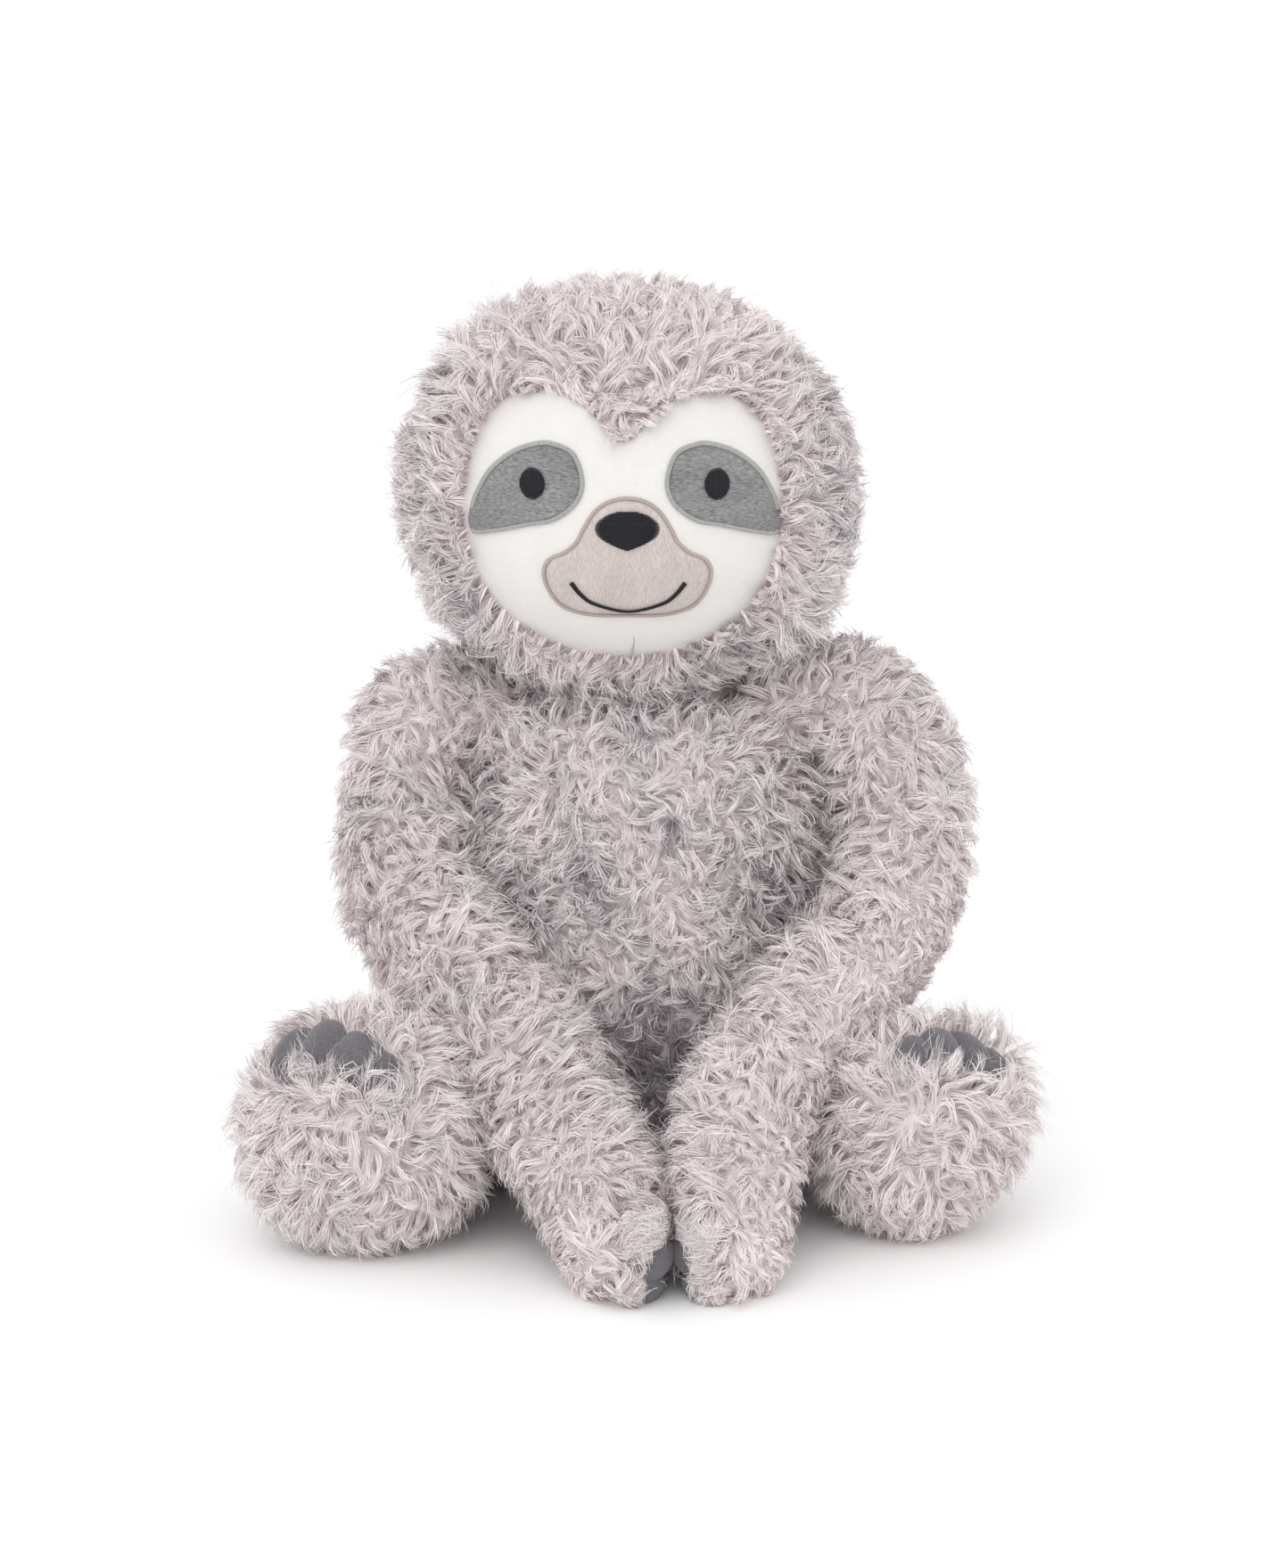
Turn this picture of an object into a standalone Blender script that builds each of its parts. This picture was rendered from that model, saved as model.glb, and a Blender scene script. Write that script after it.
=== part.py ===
# A seated plush sloth with a white face, sewn limbs and a stuffed body.
# Metres, +Z up. The toy faces -Y and sits on the plane z = 0; its own left is at +X.

import math

import bmesh
import bpy
from mathutils import Matrix, Vector

# Fabric, thread and the clearances between neighbouring pieces
PILE_FABRIC = 0.0018
PLUSH_FABRIC = 0.0010
SEAM_GAP = 0.0004
STUFFING_GAP = 0.0008
JOINT_CLEARANCE = 0.0009
GROUND_FLAT = 0.0005
THREAD_RADIUS = 0.0008
CUT_OVERRUN = 0.020

# Torso: an egg that stands on its flat base and ends in a ball-shaped neck
TORSO_HALF_WIDTH = 0.051
TORSO_HALF_DEPTH = 0.047
NECK_RADIUS = 0.034
NECK_CENTRE_HEIGHT = 0.138
NECK_BASE_ANGLE = math.radians(63)
NECK_OPENING_ANGLE = math.radians(32)
NECK_CROWN_ANGLE = math.radians(8)
NECK_THREAD_ANGLE = math.radians(48)

# Shares of the neck base's height, then of the torso's half width, half depth and, for how far the
# stuffing bulges to the toy's left, half width again
TORSO_PROFILE_SHARES = (
    (0.00, 0.80, 0.76, 0.00),
    (0.04, 0.91, 0.89, 0.00),
    (0.13, 0.98, 0.97, 0.00),
    (0.32, 1.00, 1.00, 0.01),
    (0.54, 1.00, 0.97, 0.05),
    (0.74, 1.01, 0.94, 0.09),
    (0.86, 0.99, 0.90, 0.08),
    (0.94, 0.91, 0.84, 0.05),
    (0.985, 0.78, 0.75, 0.02),
)

# Head: a ball that is a little wider than high, seated on the neck
HEAD_HALF_WIDTH = 0.066
HEAD_HALF_DEPTH = 0.058
HEAD_HALF_HEIGHT = 0.0605
HEAD_SINK = 0.012
HEAD_FORWARD = 0.004

# Shoulders and arms
SHOULDER_HALF_SPAN = 0.038
SHOULDER_RISE = 0.012
ARM_RADIUS = 0.0175
ARM_SPREAD = 0.048
ARM_REACH = 0.125
HAND_HEIGHT = 0.0125

# Shares of the spread, the reach and the drop from shoulder to hand, then of the arm's radius
ARM_ROUTE_SHARES = {
    "left": (
        (0.00, 0.000, 0.000, 0.82),
        (0.09, 0.000, 0.000, 0.82),
        (0.18, 0.000, 0.000, 0.82),
        (0.375, 0.004, -0.008, 0.85),
        (0.575, 0.018, -0.030, 0.88),
        (0.76, 0.046, 0.003, 0.92),
        (0.90, 0.077, 0.080, 0.94),
        (0.975, 0.100, 0.181, 0.95),
        (0.99, 0.123, 0.293, 0.95),
        (0.95, 0.170, 0.400, 0.96),
        (0.755, 0.277, 0.520, 0.97),
        (0.39, 0.430, 0.628, 0.95),
        (0.05, 0.585, 0.730, 0.89),
        (-0.09, 0.725, 0.827, 0.87),
        (-0.135, 0.870, 0.929, 0.82),
        (-0.155, 0.985, 1.000, 0.74),
    ),
    "right": (
        (0.00, 0.000, 0.000, 0.82),
        (0.09, 0.000, 0.000, 0.82),
        (0.18, 0.000, 0.000, 0.82),
        (0.365, 0.008, -0.011, 0.84),
        (0.515, 0.023, 0.004, 0.88),
        (0.62, 0.046, 0.053, 0.90),
        (0.665, 0.070, 0.128, 0.90),
        (0.675, 0.092, 0.226, 0.91),
        (0.66, 0.130, 0.338, 0.93),
        (0.53, 0.215, 0.451, 0.96),
        (0.27, 0.354, 0.564, 0.98),
        (-0.08, 0.523, 0.692, 0.97),
        (-0.40, 0.723, 0.831, 0.92),
        (-0.61, 0.877, 0.932, 0.84),
        (-0.69, 1.000, 1.000, 0.74),
    ),
}

# Hips and legs
HIP_HALF_SPAN = 0.044
HIP_HEIGHT = 0.026
HIP_FORWARD = 0.008
LEG_RADIUS = 0.020

# Shares of the way out and forward from hip to foot and of the hip's height, then of the leg's radius
LEG_ROUTE_SHARES = (
    (0.00, 0.00, 1.00, 1.00),
    (0.08, 0.00, 1.00, 1.00),
    (0.30, 0.00, 1.00, 1.00),
    (0.58, 0.07, 0.85, 0.96),
    (0.84, 0.25, 0.73, 0.92),
    (0.97, 0.48, 0.84, 0.90),
    (1.00, 0.80, 1.10, 0.88),
)

# Feet: upright ovals whose soles face forward
FOOT_HALF_DEPTH = 0.027
FOOT_SIZES = {
    "left": {"half_width": 0.0295, "half_height": 0.0315, "spread": 0.0885, "forward": 0.063},
    "right": {"half_width": 0.0340, "half_height": 0.0355, "spread": 0.0805, "forward": 0.078},
}
ANKLE_HOLE_RADIUS = 0.012

# Claws: padded lobes of short plush in one piece, at the top of each foot and on each hand
FOOT_CLAW_HALF_WIDTH = 0.0066
HAND_CLAW_HALF_WIDTH = 0.0062
CLAW_HALF_LENGTH = 0.0090
CLAW_HALF_THICKNESS = 0.0048

# Shares of the foot's half width and half height, outward and up from its middle
FOOT_CLAW_SHARES = {
    "left": ((-0.10, 0.80), (0.19, 0.86), (0.47, 0.80), (0.71, 0.62)),
    "right": ((-0.22, 0.60), (0.04, 0.76), (0.31, 0.83), (0.57, 0.74)),
}

# Angles on the hand: round from straight ahead towards the other hand, and up from level
HAND_CLAW_INWARD = math.radians(58)
HAND_CLAW_LIFTS = (math.radians(-37), math.radians(2), math.radians(41))

# Face: a heart-topped oval with two eye patches and a muzzle, all set off the middle a little
FACE_SHIFT = -0.0015
PANEL_HALF_WIDTH = 0.0473
PANEL_HALF_HEIGHT = 0.0446
PATCH_HALF_WIDTH = 0.0462
PATCH_HALF_HEIGHT = 0.0223
MUZZLE_HALF_WIDTH = 0.0254
MUZZLE_DEPTH_BELOW = 0.0310
NOSE_HALF_WIDTH = 0.0093
NOSE_DEPTH_BELOW = 0.0094
MOUTH_HALF_WIDTH = 0.0172
MOUTH_DEPTH_BELOW = 0.0289
MOUTH_LINE = 0.0012
EYE_HALF_WIDTH = 0.0038
EYE_HALF_HEIGHT = 0.0047
EYE_SPREAD = 0.0277
EYE_LIFT = 0.0100
BORDER_WIDTH = 0.0018
BORDER_RISE = 0.0008
SATIN_RISE = 0.0009
EYE_ROUND_POINTS = 16

# Half outlines from top to bottom, in shares of the half width and of the named height
PANEL_OUTLINE_SHARES = (
    (0.00, 0.53), (0.15, 0.65), (0.31, 0.75), (0.53, 0.785), (0.75, 0.715), (0.905, 0.515),
    (0.98, 0.26), (1.00, -0.04), (0.945, -0.35), (0.82, -0.615), (0.59, -0.83), (0.32, -0.955),
    (0.00, -1.00),
)
PATCH_OUTLINE_SHARES = (
    (0.255, 0.49), (0.315, 0.865), (0.45, 1.00), (0.57, 0.995), (0.73, 0.865), (0.88, 0.60),
    (0.96, 0.29), (0.985, -0.045), (0.955, -0.30), (0.835, -0.26), (0.63, -0.145), (0.45, -0.055),
    (0.305, 0.18),
)
MUZZLE_OUTLINE_SHARES = (
    (0.00, 0.22), (0.22, 0.185), (0.395, 0.08), (0.53, -0.095), (0.61, -0.225), (0.75, -0.33),
    (0.925, -0.405), (1.00, -0.55), (0.94, -0.74), (0.77, -0.915), (0.45, -0.995), (0.00, -1.00),
)
NOSE_OUTLINE_SHARES = (
    (0.00, 0.28), (0.48, 0.17), (0.86, -0.08), (1.00, -0.32), (0.81, -0.55), (0.43, -0.74),
    (0.00, -1.00),
)
MOUTH_ROUTE_SHARES = (
    (-1.00, -0.685), (-0.83, -0.815), (-0.58, -0.92), (0.00, -1.00), (0.58, -0.92), (0.83, -0.815),
    (1.00, -0.685),
)

# How finely the round forms are divided
TORSO_SIDES = 18
DOME_STEPS = 4
HEAD_SEGMENTS = 20
HEAD_RINGS = 12
LIMB_SIDES = 12
TIP_ANGLES = (math.radians(28), math.radians(54), math.radians(76))
FOOT_SEGMENTS = 12
FOOT_RINGS = 9
CLAW_SEGMENTS = 10
CLAW_RINGS = 8
NECK_CUT_SEGMENTS = 28
SOCKET_SIDES = 24
THREAD_SIDES = 8
THREAD_STEPS = 36
OUTLINE_STEPS = 3

SIDES = (("left", 1), ("right", -1))

NECK_CENTRE = Vector((0, 0, NECK_CENTRE_HEIGHT))
NECK_BASE_HEIGHT = NECK_CENTRE_HEIGHT + NECK_RADIUS * math.cos(NECK_BASE_ANGLE)
SHOULDER_HEIGHT = NECK_CENTRE_HEIGHT + SHOULDER_RISE
HEAD_CENTRE = Vector((0, -HEAD_FORWARD, NECK_CENTRE_HEIGHT + NECK_RADIUS - HEAD_SINK + HEAD_HALF_HEIGHT))
HEAD_HALF = Vector((HEAD_HALF_WIDTH, HEAD_HALF_DEPTH, HEAD_HALF_HEIGHT))


def clear_scene():
    for old in list(bpy.data.objects):
        bpy.data.objects.remove(old, do_unlink=True)


def new_collection(name):
    found = bpy.data.collections.get(name) or bpy.data.collections.new(name)
    if name not in bpy.context.scene.collection.children:
        bpy.context.scene.collection.children.link(found)
    return found


def material(name, colour, roughness):
    made = bpy.data.materials.new(name)
    made.use_nodes = True
    shader = made.node_tree.nodes["Principled BSDF"]
    shader.inputs["Base Color"].default_value = (*colour, 1)
    shader.inputs["Roughness"].default_value = roughness
    shader.inputs["Metallic"].default_value = 0
    return made


def object_from_bmesh(name, mesh_data, collection):
    mesh = bpy.data.meshes.new(name)
    mesh_data.to_mesh(mesh)
    mesh_data.free()
    made = bpy.data.objects.new(name, mesh)
    collection.objects.link(made)
    return made


def as_cutter(made):
    made.hide_render = True
    made.display_type = "WIRE"
    return made


def boolean(target, operation, cutter):
    step = target.modifiers.new(operation.title(), "BOOLEAN")
    step.operation = operation
    step.solver = "EXACT"
    step.object = cutter


def dress(made, look, carrier):
    """Give a piece its material and hang it, where it stands, on its joint's empty."""
    made.data.materials.append(look)
    made.data.shade_smooth()
    made.data.transform(Matrix.Translation(-carrier.location))
    made.parent = carrier


def joint_empty(name, place, collection):
    made = bpy.data.objects.new(name, None)
    made.location = place
    collection.objects.link(made)
    return made


# Curves through hand-chosen points

def curve_point(before, start, end, after, share):
    """A point between start and end on the smooth curve through all four."""
    bend = (before - 2 * start + end) * (1 - share) + (start - 2 * end + after) * share
    return start.lerp(end, share) - bend * (share * (1 - share) / 2)


def smooth_open(points, steps):
    ends = [points[0] * 2 - points[1], *points, points[-1] * 2 - points[-2]]
    made = []
    for i in range(1, len(ends) - 2):
        for step in range(steps):
            made.append(curve_point(*ends[i - 1:i + 3], step / steps))
    return [*made, points[-1].copy()]


def smooth_closed(points, steps):
    count = len(points)
    made = []
    for i in range(count):
        around = [points[(i + k) % count] for k in (-1, 0, 1, 2)]
        for step in range(steps):
            made.append(curve_point(*around, step / steps))
    return made


def mirrored(half):
    """A whole outline from its right half, whose first and last points lie on the middle."""
    return [*half, *(Vector((-p.x, p.y)) for p in reversed(half[1:-1]))]


def widened(outline, width):
    """The same outline moved out by a width."""
    count = len(outline)
    area = sum(outline[i - 1].x * outline[i].y - outline[i].x * outline[i - 1].y for i in range(count))
    turn = 1 if area > 0 else -1
    made = []
    for i in range(count):
        along = (outline[(i + 1) % count] - outline[i - 1]).normalized()
        made.append(outline[i] + Vector((along.y, -along.x)) * (width * turn))
    return made


# Round forms

def ellipsoid(name, centre, half, segments, rings, collection, turn=None):
    """A ball with its poles front and back, scaled to its half sizes."""
    mesh_data = bmesh.new()
    bmesh.ops.create_uvsphere(mesh_data, u_segments=segments, v_segments=rings, radius=1)
    poles = Matrix.Rotation(math.radians(90), 4, "X")
    size = Matrix.Diagonal((*half, 1))
    place = Matrix.Translation(centre) @ (turn or Matrix.Identity(4)) @ size @ poles
    bmesh.ops.transform(mesh_data, matrix=place, verts=mesh_data.verts)
    return object_from_bmesh(name, mesh_data, collection)


def hollow_ellipsoid(name, centre, half, wall, segments, rings, parts, cutters):
    made = ellipsoid(name, centre, half, segments, rings, parts)
    inner = Vector(half) - Vector((wall, wall, wall))
    boolean(made, "DIFFERENCE", as_cutter(ellipsoid(name + "_hollow", centre, inner, segments, rings, cutters)))
    return made


def cylinder_along_x(name, start, length, radius, cutters):
    mesh_data = bmesh.new()
    bmesh.ops.create_cone(
        mesh_data, cap_ends=True, segments=SOCKET_SIDES, radius1=radius, radius2=radius, depth=abs(length)
    )
    place = Matrix.Translation(start + Vector((length / 2, 0, 0))) @ Matrix.Rotation(math.radians(90), 4, "Y")
    bmesh.ops.transform(mesh_data, matrix=place, verts=mesh_data.verts)
    return as_cutter(object_from_bmesh(name, mesh_data, cutters))


def ground_cutter(cutters):
    size = 2 * (ARM_REACH + SHOULDER_HEIGHT)
    mesh_data = bmesh.new()
    bmesh.ops.create_cube(mesh_data, size=size)
    bmesh.ops.translate(mesh_data, vec=(0, 0, -size / 2), verts=mesh_data.verts)
    return as_cutter(object_from_bmesh("ground_cut", mesh_data, cutters))


def skin_rows(mesh_data, rings, facing_out):
    """Faces between neighbouring rings of unlike size and tilt that have equal numbers of points."""
    rows = [[mesh_data.verts.new(point) for point in ring] for ring in rings]
    for lower, upper in zip(rows, rows[1:]):
        for i in range(len(lower)):
            corners = (lower[i - 1], lower[i], upper[i], upper[i - 1])
            mesh_data.faces.new(corners if facing_out else tuple(reversed(corners)))
    return rows


def cap(mesh_data, row, facing_on):
    """An end face that looks on along the rings' direction, or back."""
    mesh_data.faces.new(row if facing_on else list(reversed(row)))


def rim(mesh_data, outer_row, inner_row, facing_on):
    """A flat edge between the outer and the inner skin of an open end."""
    for i in range(len(outer_row)):
        corners = (outer_row[i - 1], outer_row[i], inner_row[i], inner_row[i - 1])
        mesh_data.faces.new(corners if facing_on else tuple(reversed(corners)))


def solid_loft(name, rings, collection):
    mesh_data = bmesh.new()
    rows = skin_rows(mesh_data, rings, True)
    cap(mesh_data, rows[0], False)
    cap(mesh_data, rows[-1], True)
    return object_from_bmesh(name, mesh_data, collection)


def hollow_loft(name, outer, inner, closed_start, closed_end, collection):
    """A fabric tube between two skins, each end either closed or open with a flat edge."""
    mesh_data = bmesh.new()
    outer_rows = skin_rows(mesh_data, outer, True)
    inner_rows = skin_rows(mesh_data, inner, False)
    for end, facing_on, closed in ((0, False, closed_start), (-1, True, closed_end)):
        if closed:
            cap(mesh_data, outer_rows[end], facing_on)
            cap(mesh_data, inner_rows[end], not facing_on)
        else:
            rim(mesh_data, outer_rows[end], inner_rows[end], facing_on)
    return object_from_bmesh(name, mesh_data, collection)


def flat_ring(centre, half_width, half_depth, sides):
    turns = (2 * math.pi * (i + 0.5) / sides for i in range(sides))
    return [centre + Vector((half_width * math.cos(t), half_depth * math.sin(t), 0)) for t in turns]


def tube_frames(spine):
    """A start, a direction and two side directions for each point of a limb's middle line."""
    frames = []
    side = Vector((0, 0, 1))
    for i, point in enumerate(spine):
        if i == 0:
            along = (spine[1] - spine[0]).normalized()
        elif i == len(spine) - 1:
            along = (spine[-1] - spine[-2]).normalized()
        else:
            along = (spine[i + 1] - spine[i - 1]).normalized()
        side = (side - along * side.dot(along)).normalized()
        frames.append((point, along, side, along.cross(side)))
    return frames


def tube_ring(frame, radius, ahead=0):
    point, along, side, cross = frame
    turns = (2 * math.pi * i / LIMB_SIDES for i in range(LIMB_SIDES))
    return [point + along * ahead + (side * math.cos(t) + cross * math.sin(t)) * radius for t in turns]


def limb_rings(route, inset, round_tip):
    """Rings along a limb, drawn in by the inset, with a half ball at the tip where it is round."""
    spine = smooth_open([Vector(stop[:3]) for stop in route], 1)
    radii = [stop[3] - inset for stop in route]
    frames = tube_frames(spine)
    rings = [tube_ring(frame, radius) for frame, radius in zip(frames, radii)]
    if round_tip:
        for angle in TIP_ANGLES:
            rings.append(tube_ring(frames[-1], radii[-1] * math.cos(angle), radii[-1] * math.sin(angle)))
    return rings


# Torso and neck

def torso_profile(opening_angle):
    """Half width, half depth and height of the torso from its base up and over the neck ball."""
    stations = [
        Vector((across * TORSO_HALF_WIDTH, deep * TORSO_HALF_DEPTH, up * NECK_BASE_HEIGHT))
        for up, across, deep, _ in TORSO_PROFILE_SHARES
    ]
    for step in range(DOME_STEPS + 1):
        angle = NECK_BASE_ANGLE + (opening_angle - NECK_BASE_ANGLE) * step / DOME_STEPS
        radius = NECK_RADIUS * math.sin(angle)
        stations.append(Vector((radius, radius, NECK_CENTRE_HEIGHT + NECK_RADIUS * math.cos(angle))))
    return stations


def drawn_in(profile, inset):
    """The same profile moved inward by an even distance, with its flat base kept level."""
    inward = [Vector((0, 1))]
    for low, high in zip(profile, profile[1:]):
        inward.append(Vector((low.z - high.z, high.x - low.x)).normalized())
    inward.append(inward[-1])
    made = []
    for station, before, after in zip(profile, inward, inward[1:]):
        shift = (before + after) * (inset / (1 + before.dot(after)))
        made.append(station + Vector((shift.x, shift.x, shift.y)))
    return made


def torso_rings(inset, opening_angle):
    stations = drawn_in(torso_profile(opening_angle), inset)
    asides = [aside * TORSO_HALF_WIDTH for _, _, _, aside in TORSO_PROFILE_SHARES] + [0] * (DOME_STEPS + 1)
    return [flat_ring(Vector((aside, 0, at.z)), at.x, at.y, TORSO_SIDES) for at, aside in zip(stations, asides)]


def socket_cutters(cutters):
    """Round pockets in the torso's sides, where the limbs are sewn in."""
    made = []
    for side, sign in SIDES:
        shoulder = Vector((sign * SHOULDER_HALF_SPAN, 0, SHOULDER_HEIGHT))
        radius = ARM_ROUTE_SHARES[side][0][3] * ARM_RADIUS + JOINT_CLEARANCE
        made.append(cylinder_along_x("armhole_" + side, shoulder, sign * CUT_OVERRUN, radius, cutters))
        hip = Vector((sign * HIP_HALF_SPAN, -HIP_FORWARD, HIP_HEIGHT))
        radius = LEG_ROUTE_SHARES[0][3] * LEG_RADIUS + JOINT_CLEARANCE
        made.append(cylinder_along_x("leg_hole_" + side, hip, sign * CUT_OVERRUN, radius, cutters))
    return made


def build_torso(looks, carrier, parts, cutters):
    outer = torso_rings(0, NECK_OPENING_ANGLE)
    cover = hollow_loft("torso_cover", outer, torso_rings(PILE_FABRIC, NECK_OPENING_ANGLE), True, False, parts)
    dress(cover, looks["fur"], carrier)
    inset = PILE_FABRIC + STUFFING_GAP
    stuffing = solid_loft("torso_stuffing", torso_rings(inset, NECK_CROWN_ANGLE), parts)
    dress(stuffing, looks["stuffing"], carrier)
    for cutter in socket_cutters(cutters):
        boolean(cover, "DIFFERENCE", cutter)
        boolean(stuffing, "DIFFERENCE", cutter)


def build_neck_thread(looks, carrier, parts):
    """The ring of closing stitches round the neck."""
    distance = NECK_RADIUS + SEAM_GAP + THREAD_RADIUS
    ring_radius = distance * math.sin(NECK_THREAD_ANGLE)
    height = NECK_CENTRE_HEIGHT + distance * math.cos(NECK_THREAD_ANGLE)
    bpy.ops.mesh.primitive_torus_add(
        major_segments=THREAD_STEPS,
        minor_segments=THREAD_SIDES,
        major_radius=ring_radius,
        minor_radius=THREAD_RADIUS,
        location=(0, 0, 0),
    )
    made = bpy.context.object
    made.name = "neck_seam_thread"
    made.data.transform(Matrix.Translation((0, 0, height)))
    for holder in list(made.users_collection):
        holder.objects.unlink(made)
    parts.objects.link(made)
    dress(made, looks["thread"], carrier)


# Head and face

def face_points(shares, half_width, height):
    return [Vector((across * half_width, up * height)) for across, up in shares]


def face_prism(name, outline, cutters, reach=2 * HEAD_HALF_DEPTH):
    """A front-to-back prism of a flat outline that cuts the front half of the head."""
    mesh_data = bmesh.new()
    places = [Vector((FACE_SHIFT + p.x, -reach, HEAD_CENTRE.z + p.y)) for p in outline]
    face = mesh_data.faces.new([mesh_data.verts.new(place) for place in places])
    pulled = bmesh.ops.extrude_face_region(mesh_data, geom=[face])["geom"]
    ends = [item for item in pulled if isinstance(item, bmesh.types.BMVert)]
    bmesh.ops.translate(mesh_data, vec=(0, reach - HEAD_FORWARD, 0), verts=ends)
    bmesh.ops.recalc_face_normals(mesh_data, faces=mesh_data.faces)
    return as_cutter(object_from_bmesh(name, mesh_data, cutters))


def face_layer(name, inner, outer, outline, parts, cutters):
    """A curved sheet that follows the head between two depths, trimmed to an outline."""
    half = HEAD_HALF + Vector((outer, outer, outer))
    made = hollow_ellipsoid(name, HEAD_CENTRE, half, outer - inner, HEAD_SEGMENTS, HEAD_RINGS, parts, cutters)
    boolean(made, "INTERSECT", face_prism(name + "_outline", outline, cutters))
    return made


def stitched_border(name, inner, outer, outline, parts, cutters):
    """A satin-stitched cord round a patch."""
    made = face_layer(name, inner, outer, widened(outline, BORDER_WIDTH), parts, cutters)
    hole = face_prism(name + "_hole", widened(outline, SEAM_GAP), cutters)
    boolean(made, "DIFFERENCE", hole)
    return made


def build_head(looks, carrier, parts, cutters):
    neck_radius = (NECK_RADIUS + SEAM_GAP) / math.cos(math.pi / NECK_CUT_SEGMENTS) ** 2
    neck_half = Vector((neck_radius, neck_radius, neck_radius))
    neck = as_cutter(ellipsoid("neck_seat", NECK_CENTRE, neck_half, NECK_CUT_SEGMENTS, NECK_CUT_SEGMENTS // 2, cutters))
    panel = smooth_closed(mirrored(face_points(PANEL_OUTLINE_SHARES, PANEL_HALF_WIDTH, PANEL_HALF_HEIGHT)), 2)
    cover = hollow_ellipsoid(
        "head_cover", HEAD_CENTRE, HEAD_HALF, PILE_FABRIC, HEAD_SEGMENTS, HEAD_RINGS, parts, cutters
    )
    boolean(cover, "DIFFERENCE", neck)
    boolean(cover, "DIFFERENCE", face_prism("face_opening", widened(panel, SEAM_GAP), cutters))
    dress(cover, looks["fur"], carrier)
    inset = PILE_FABRIC + SEAM_GAP
    stuffing_half = HEAD_HALF - Vector((inset, inset, inset))
    stuffing = ellipsoid("head_stuffing", HEAD_CENTRE, stuffing_half, HEAD_SEGMENTS, HEAD_RINGS, parts)
    boolean(stuffing, "DIFFERENCE", neck)
    dress(stuffing, looks["stuffing"], carrier)
    dress(face_layer("face_panel", -PILE_FABRIC, 0, panel, parts, cutters), looks["white"], carrier)


def build_eyes(looks, carrier, parts, cutters):
    outline = face_points(PATCH_OUTLINE_SHARES, PATCH_HALF_WIDTH, PATCH_HALF_HEIGHT)
    base = SEAM_GAP
    top = base + PLUSH_FABRIC
    for side, sign in SIDES:
        patch = widened(smooth_closed([Vector((sign * p.x, p.y)) for p in outline], 2), -BORDER_WIDTH)
        dress(face_layer("eye_patch_" + side, base, top, patch, parts, cutters), looks["grey"], carrier)
        border = stitched_border("eye_patch_stitching_" + side, base, top + BORDER_RISE, patch, parts, cutters)
        dress(border, looks["satin"], carrier)
        turns = [2 * math.pi * i / EYE_ROUND_POINTS for i in range(EYE_ROUND_POINTS)]
        middle = Vector((sign * EYE_SPREAD, EYE_LIFT))
        eye = [middle + Vector((EYE_HALF_WIDTH * math.cos(t), EYE_HALF_HEIGHT * math.sin(t))) for t in turns]
        low = top + SEAM_GAP
        dress(face_layer("eye_" + side, low, low + SATIN_RISE, eye, parts, cutters), looks["black"], carrier)


def build_muzzle(looks, carrier, parts, cutters):
    base = SEAM_GAP
    top = base + PLUSH_FABRIC
    low = top + SEAM_GAP
    outline = mirrored(face_points(MUZZLE_OUTLINE_SHARES, MUZZLE_HALF_WIDTH, MUZZLE_DEPTH_BELOW))
    muzzle = widened(smooth_closed(outline, 2), -BORDER_WIDTH)
    dress(face_layer("muzzle", base, top, muzzle, parts, cutters), looks["taupe"], carrier)
    border = stitched_border("muzzle_stitching", base, top + BORDER_RISE, muzzle, parts, cutters)
    dress(border, looks["brown"], carrier)
    nose = smooth_closed(mirrored(face_points(NOSE_OUTLINE_SHARES, NOSE_HALF_WIDTH, NOSE_DEPTH_BELOW)), 2)
    dress(face_layer("nose", low, low + SATIN_RISE, nose, parts, cutters), looks["black"], carrier)
    route = smooth_open(face_points(MOUTH_ROUTE_SHARES, MOUTH_HALF_WIDTH, MOUTH_DEPTH_BELOW), OUTLINE_STEPS)
    upper = []
    lower = []
    for i, point in enumerate(route):
        along = (route[min(i + 1, len(route) - 1)] - route[max(i - 1, 0)]).normalized()
        across = Vector((-along.y, along.x)) * MOUTH_LINE / 2
        upper.append(point + across)
        lower.append(point - across)
    mouth = [*lower, *reversed(upper)]
    dress(face_layer("mouth", low, low + SATIN_RISE, mouth, parts, cutters), looks["black"], carrier)


# Limbs

def arm_route(side, sign):
    drop = SHOULDER_HEIGHT - HAND_HEIGHT
    start = SHOULDER_HALF_SPAN + SEAM_GAP
    return [
        (sign * (start + out * ARM_SPREAD), -ahead * ARM_REACH, SHOULDER_HEIGHT - down * drop, thick * ARM_RADIUS)
        for out, ahead, down, thick in ARM_ROUTE_SHARES[side]
    ]


def leg_route(side, sign):
    start = HIP_HALF_SPAN + SEAM_GAP
    spread = FOOT_SIZES[side]["spread"] - start
    reach = FOOT_SIZES[side]["forward"] - HIP_FORWARD
    return [
        (sign * (start + out * spread), -HIP_FORWARD - ahead * reach, up * HIP_HEIGHT, thick * LEG_RADIUS)
        for out, ahead, up, thick in LEG_ROUTE_SHARES
    ]


def foot_centre(side, sign):
    size = FOOT_SIZES[side]
    return Vector((sign * size["spread"], -size["forward"], size["half_height"] - GROUND_FLAT))


def foot_half(side, grow=0):
    size = FOOT_SIZES[side]
    return Vector((size["half_width"] + grow, FOOT_HALF_DEPTH + grow, size["half_height"] + grow))


def claw_lobe(name, half_width, place, outward, upward, collection):
    """One padded lobe, flat against the surface that it grows from."""
    outward = outward.normalized()
    long_way = (upward - outward * upward.dot(outward)).normalized()
    wide_way = long_way.cross(outward)
    turn = Matrix((wide_way, outward, long_way)).transposed().to_4x4()
    half = (half_width, CLAW_HALF_THICKNESS, CLAW_HALF_LENGTH)
    return ellipsoid(name, place, half, CLAW_SEGMENTS, CLAW_RINGS, collection, turn)


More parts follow.
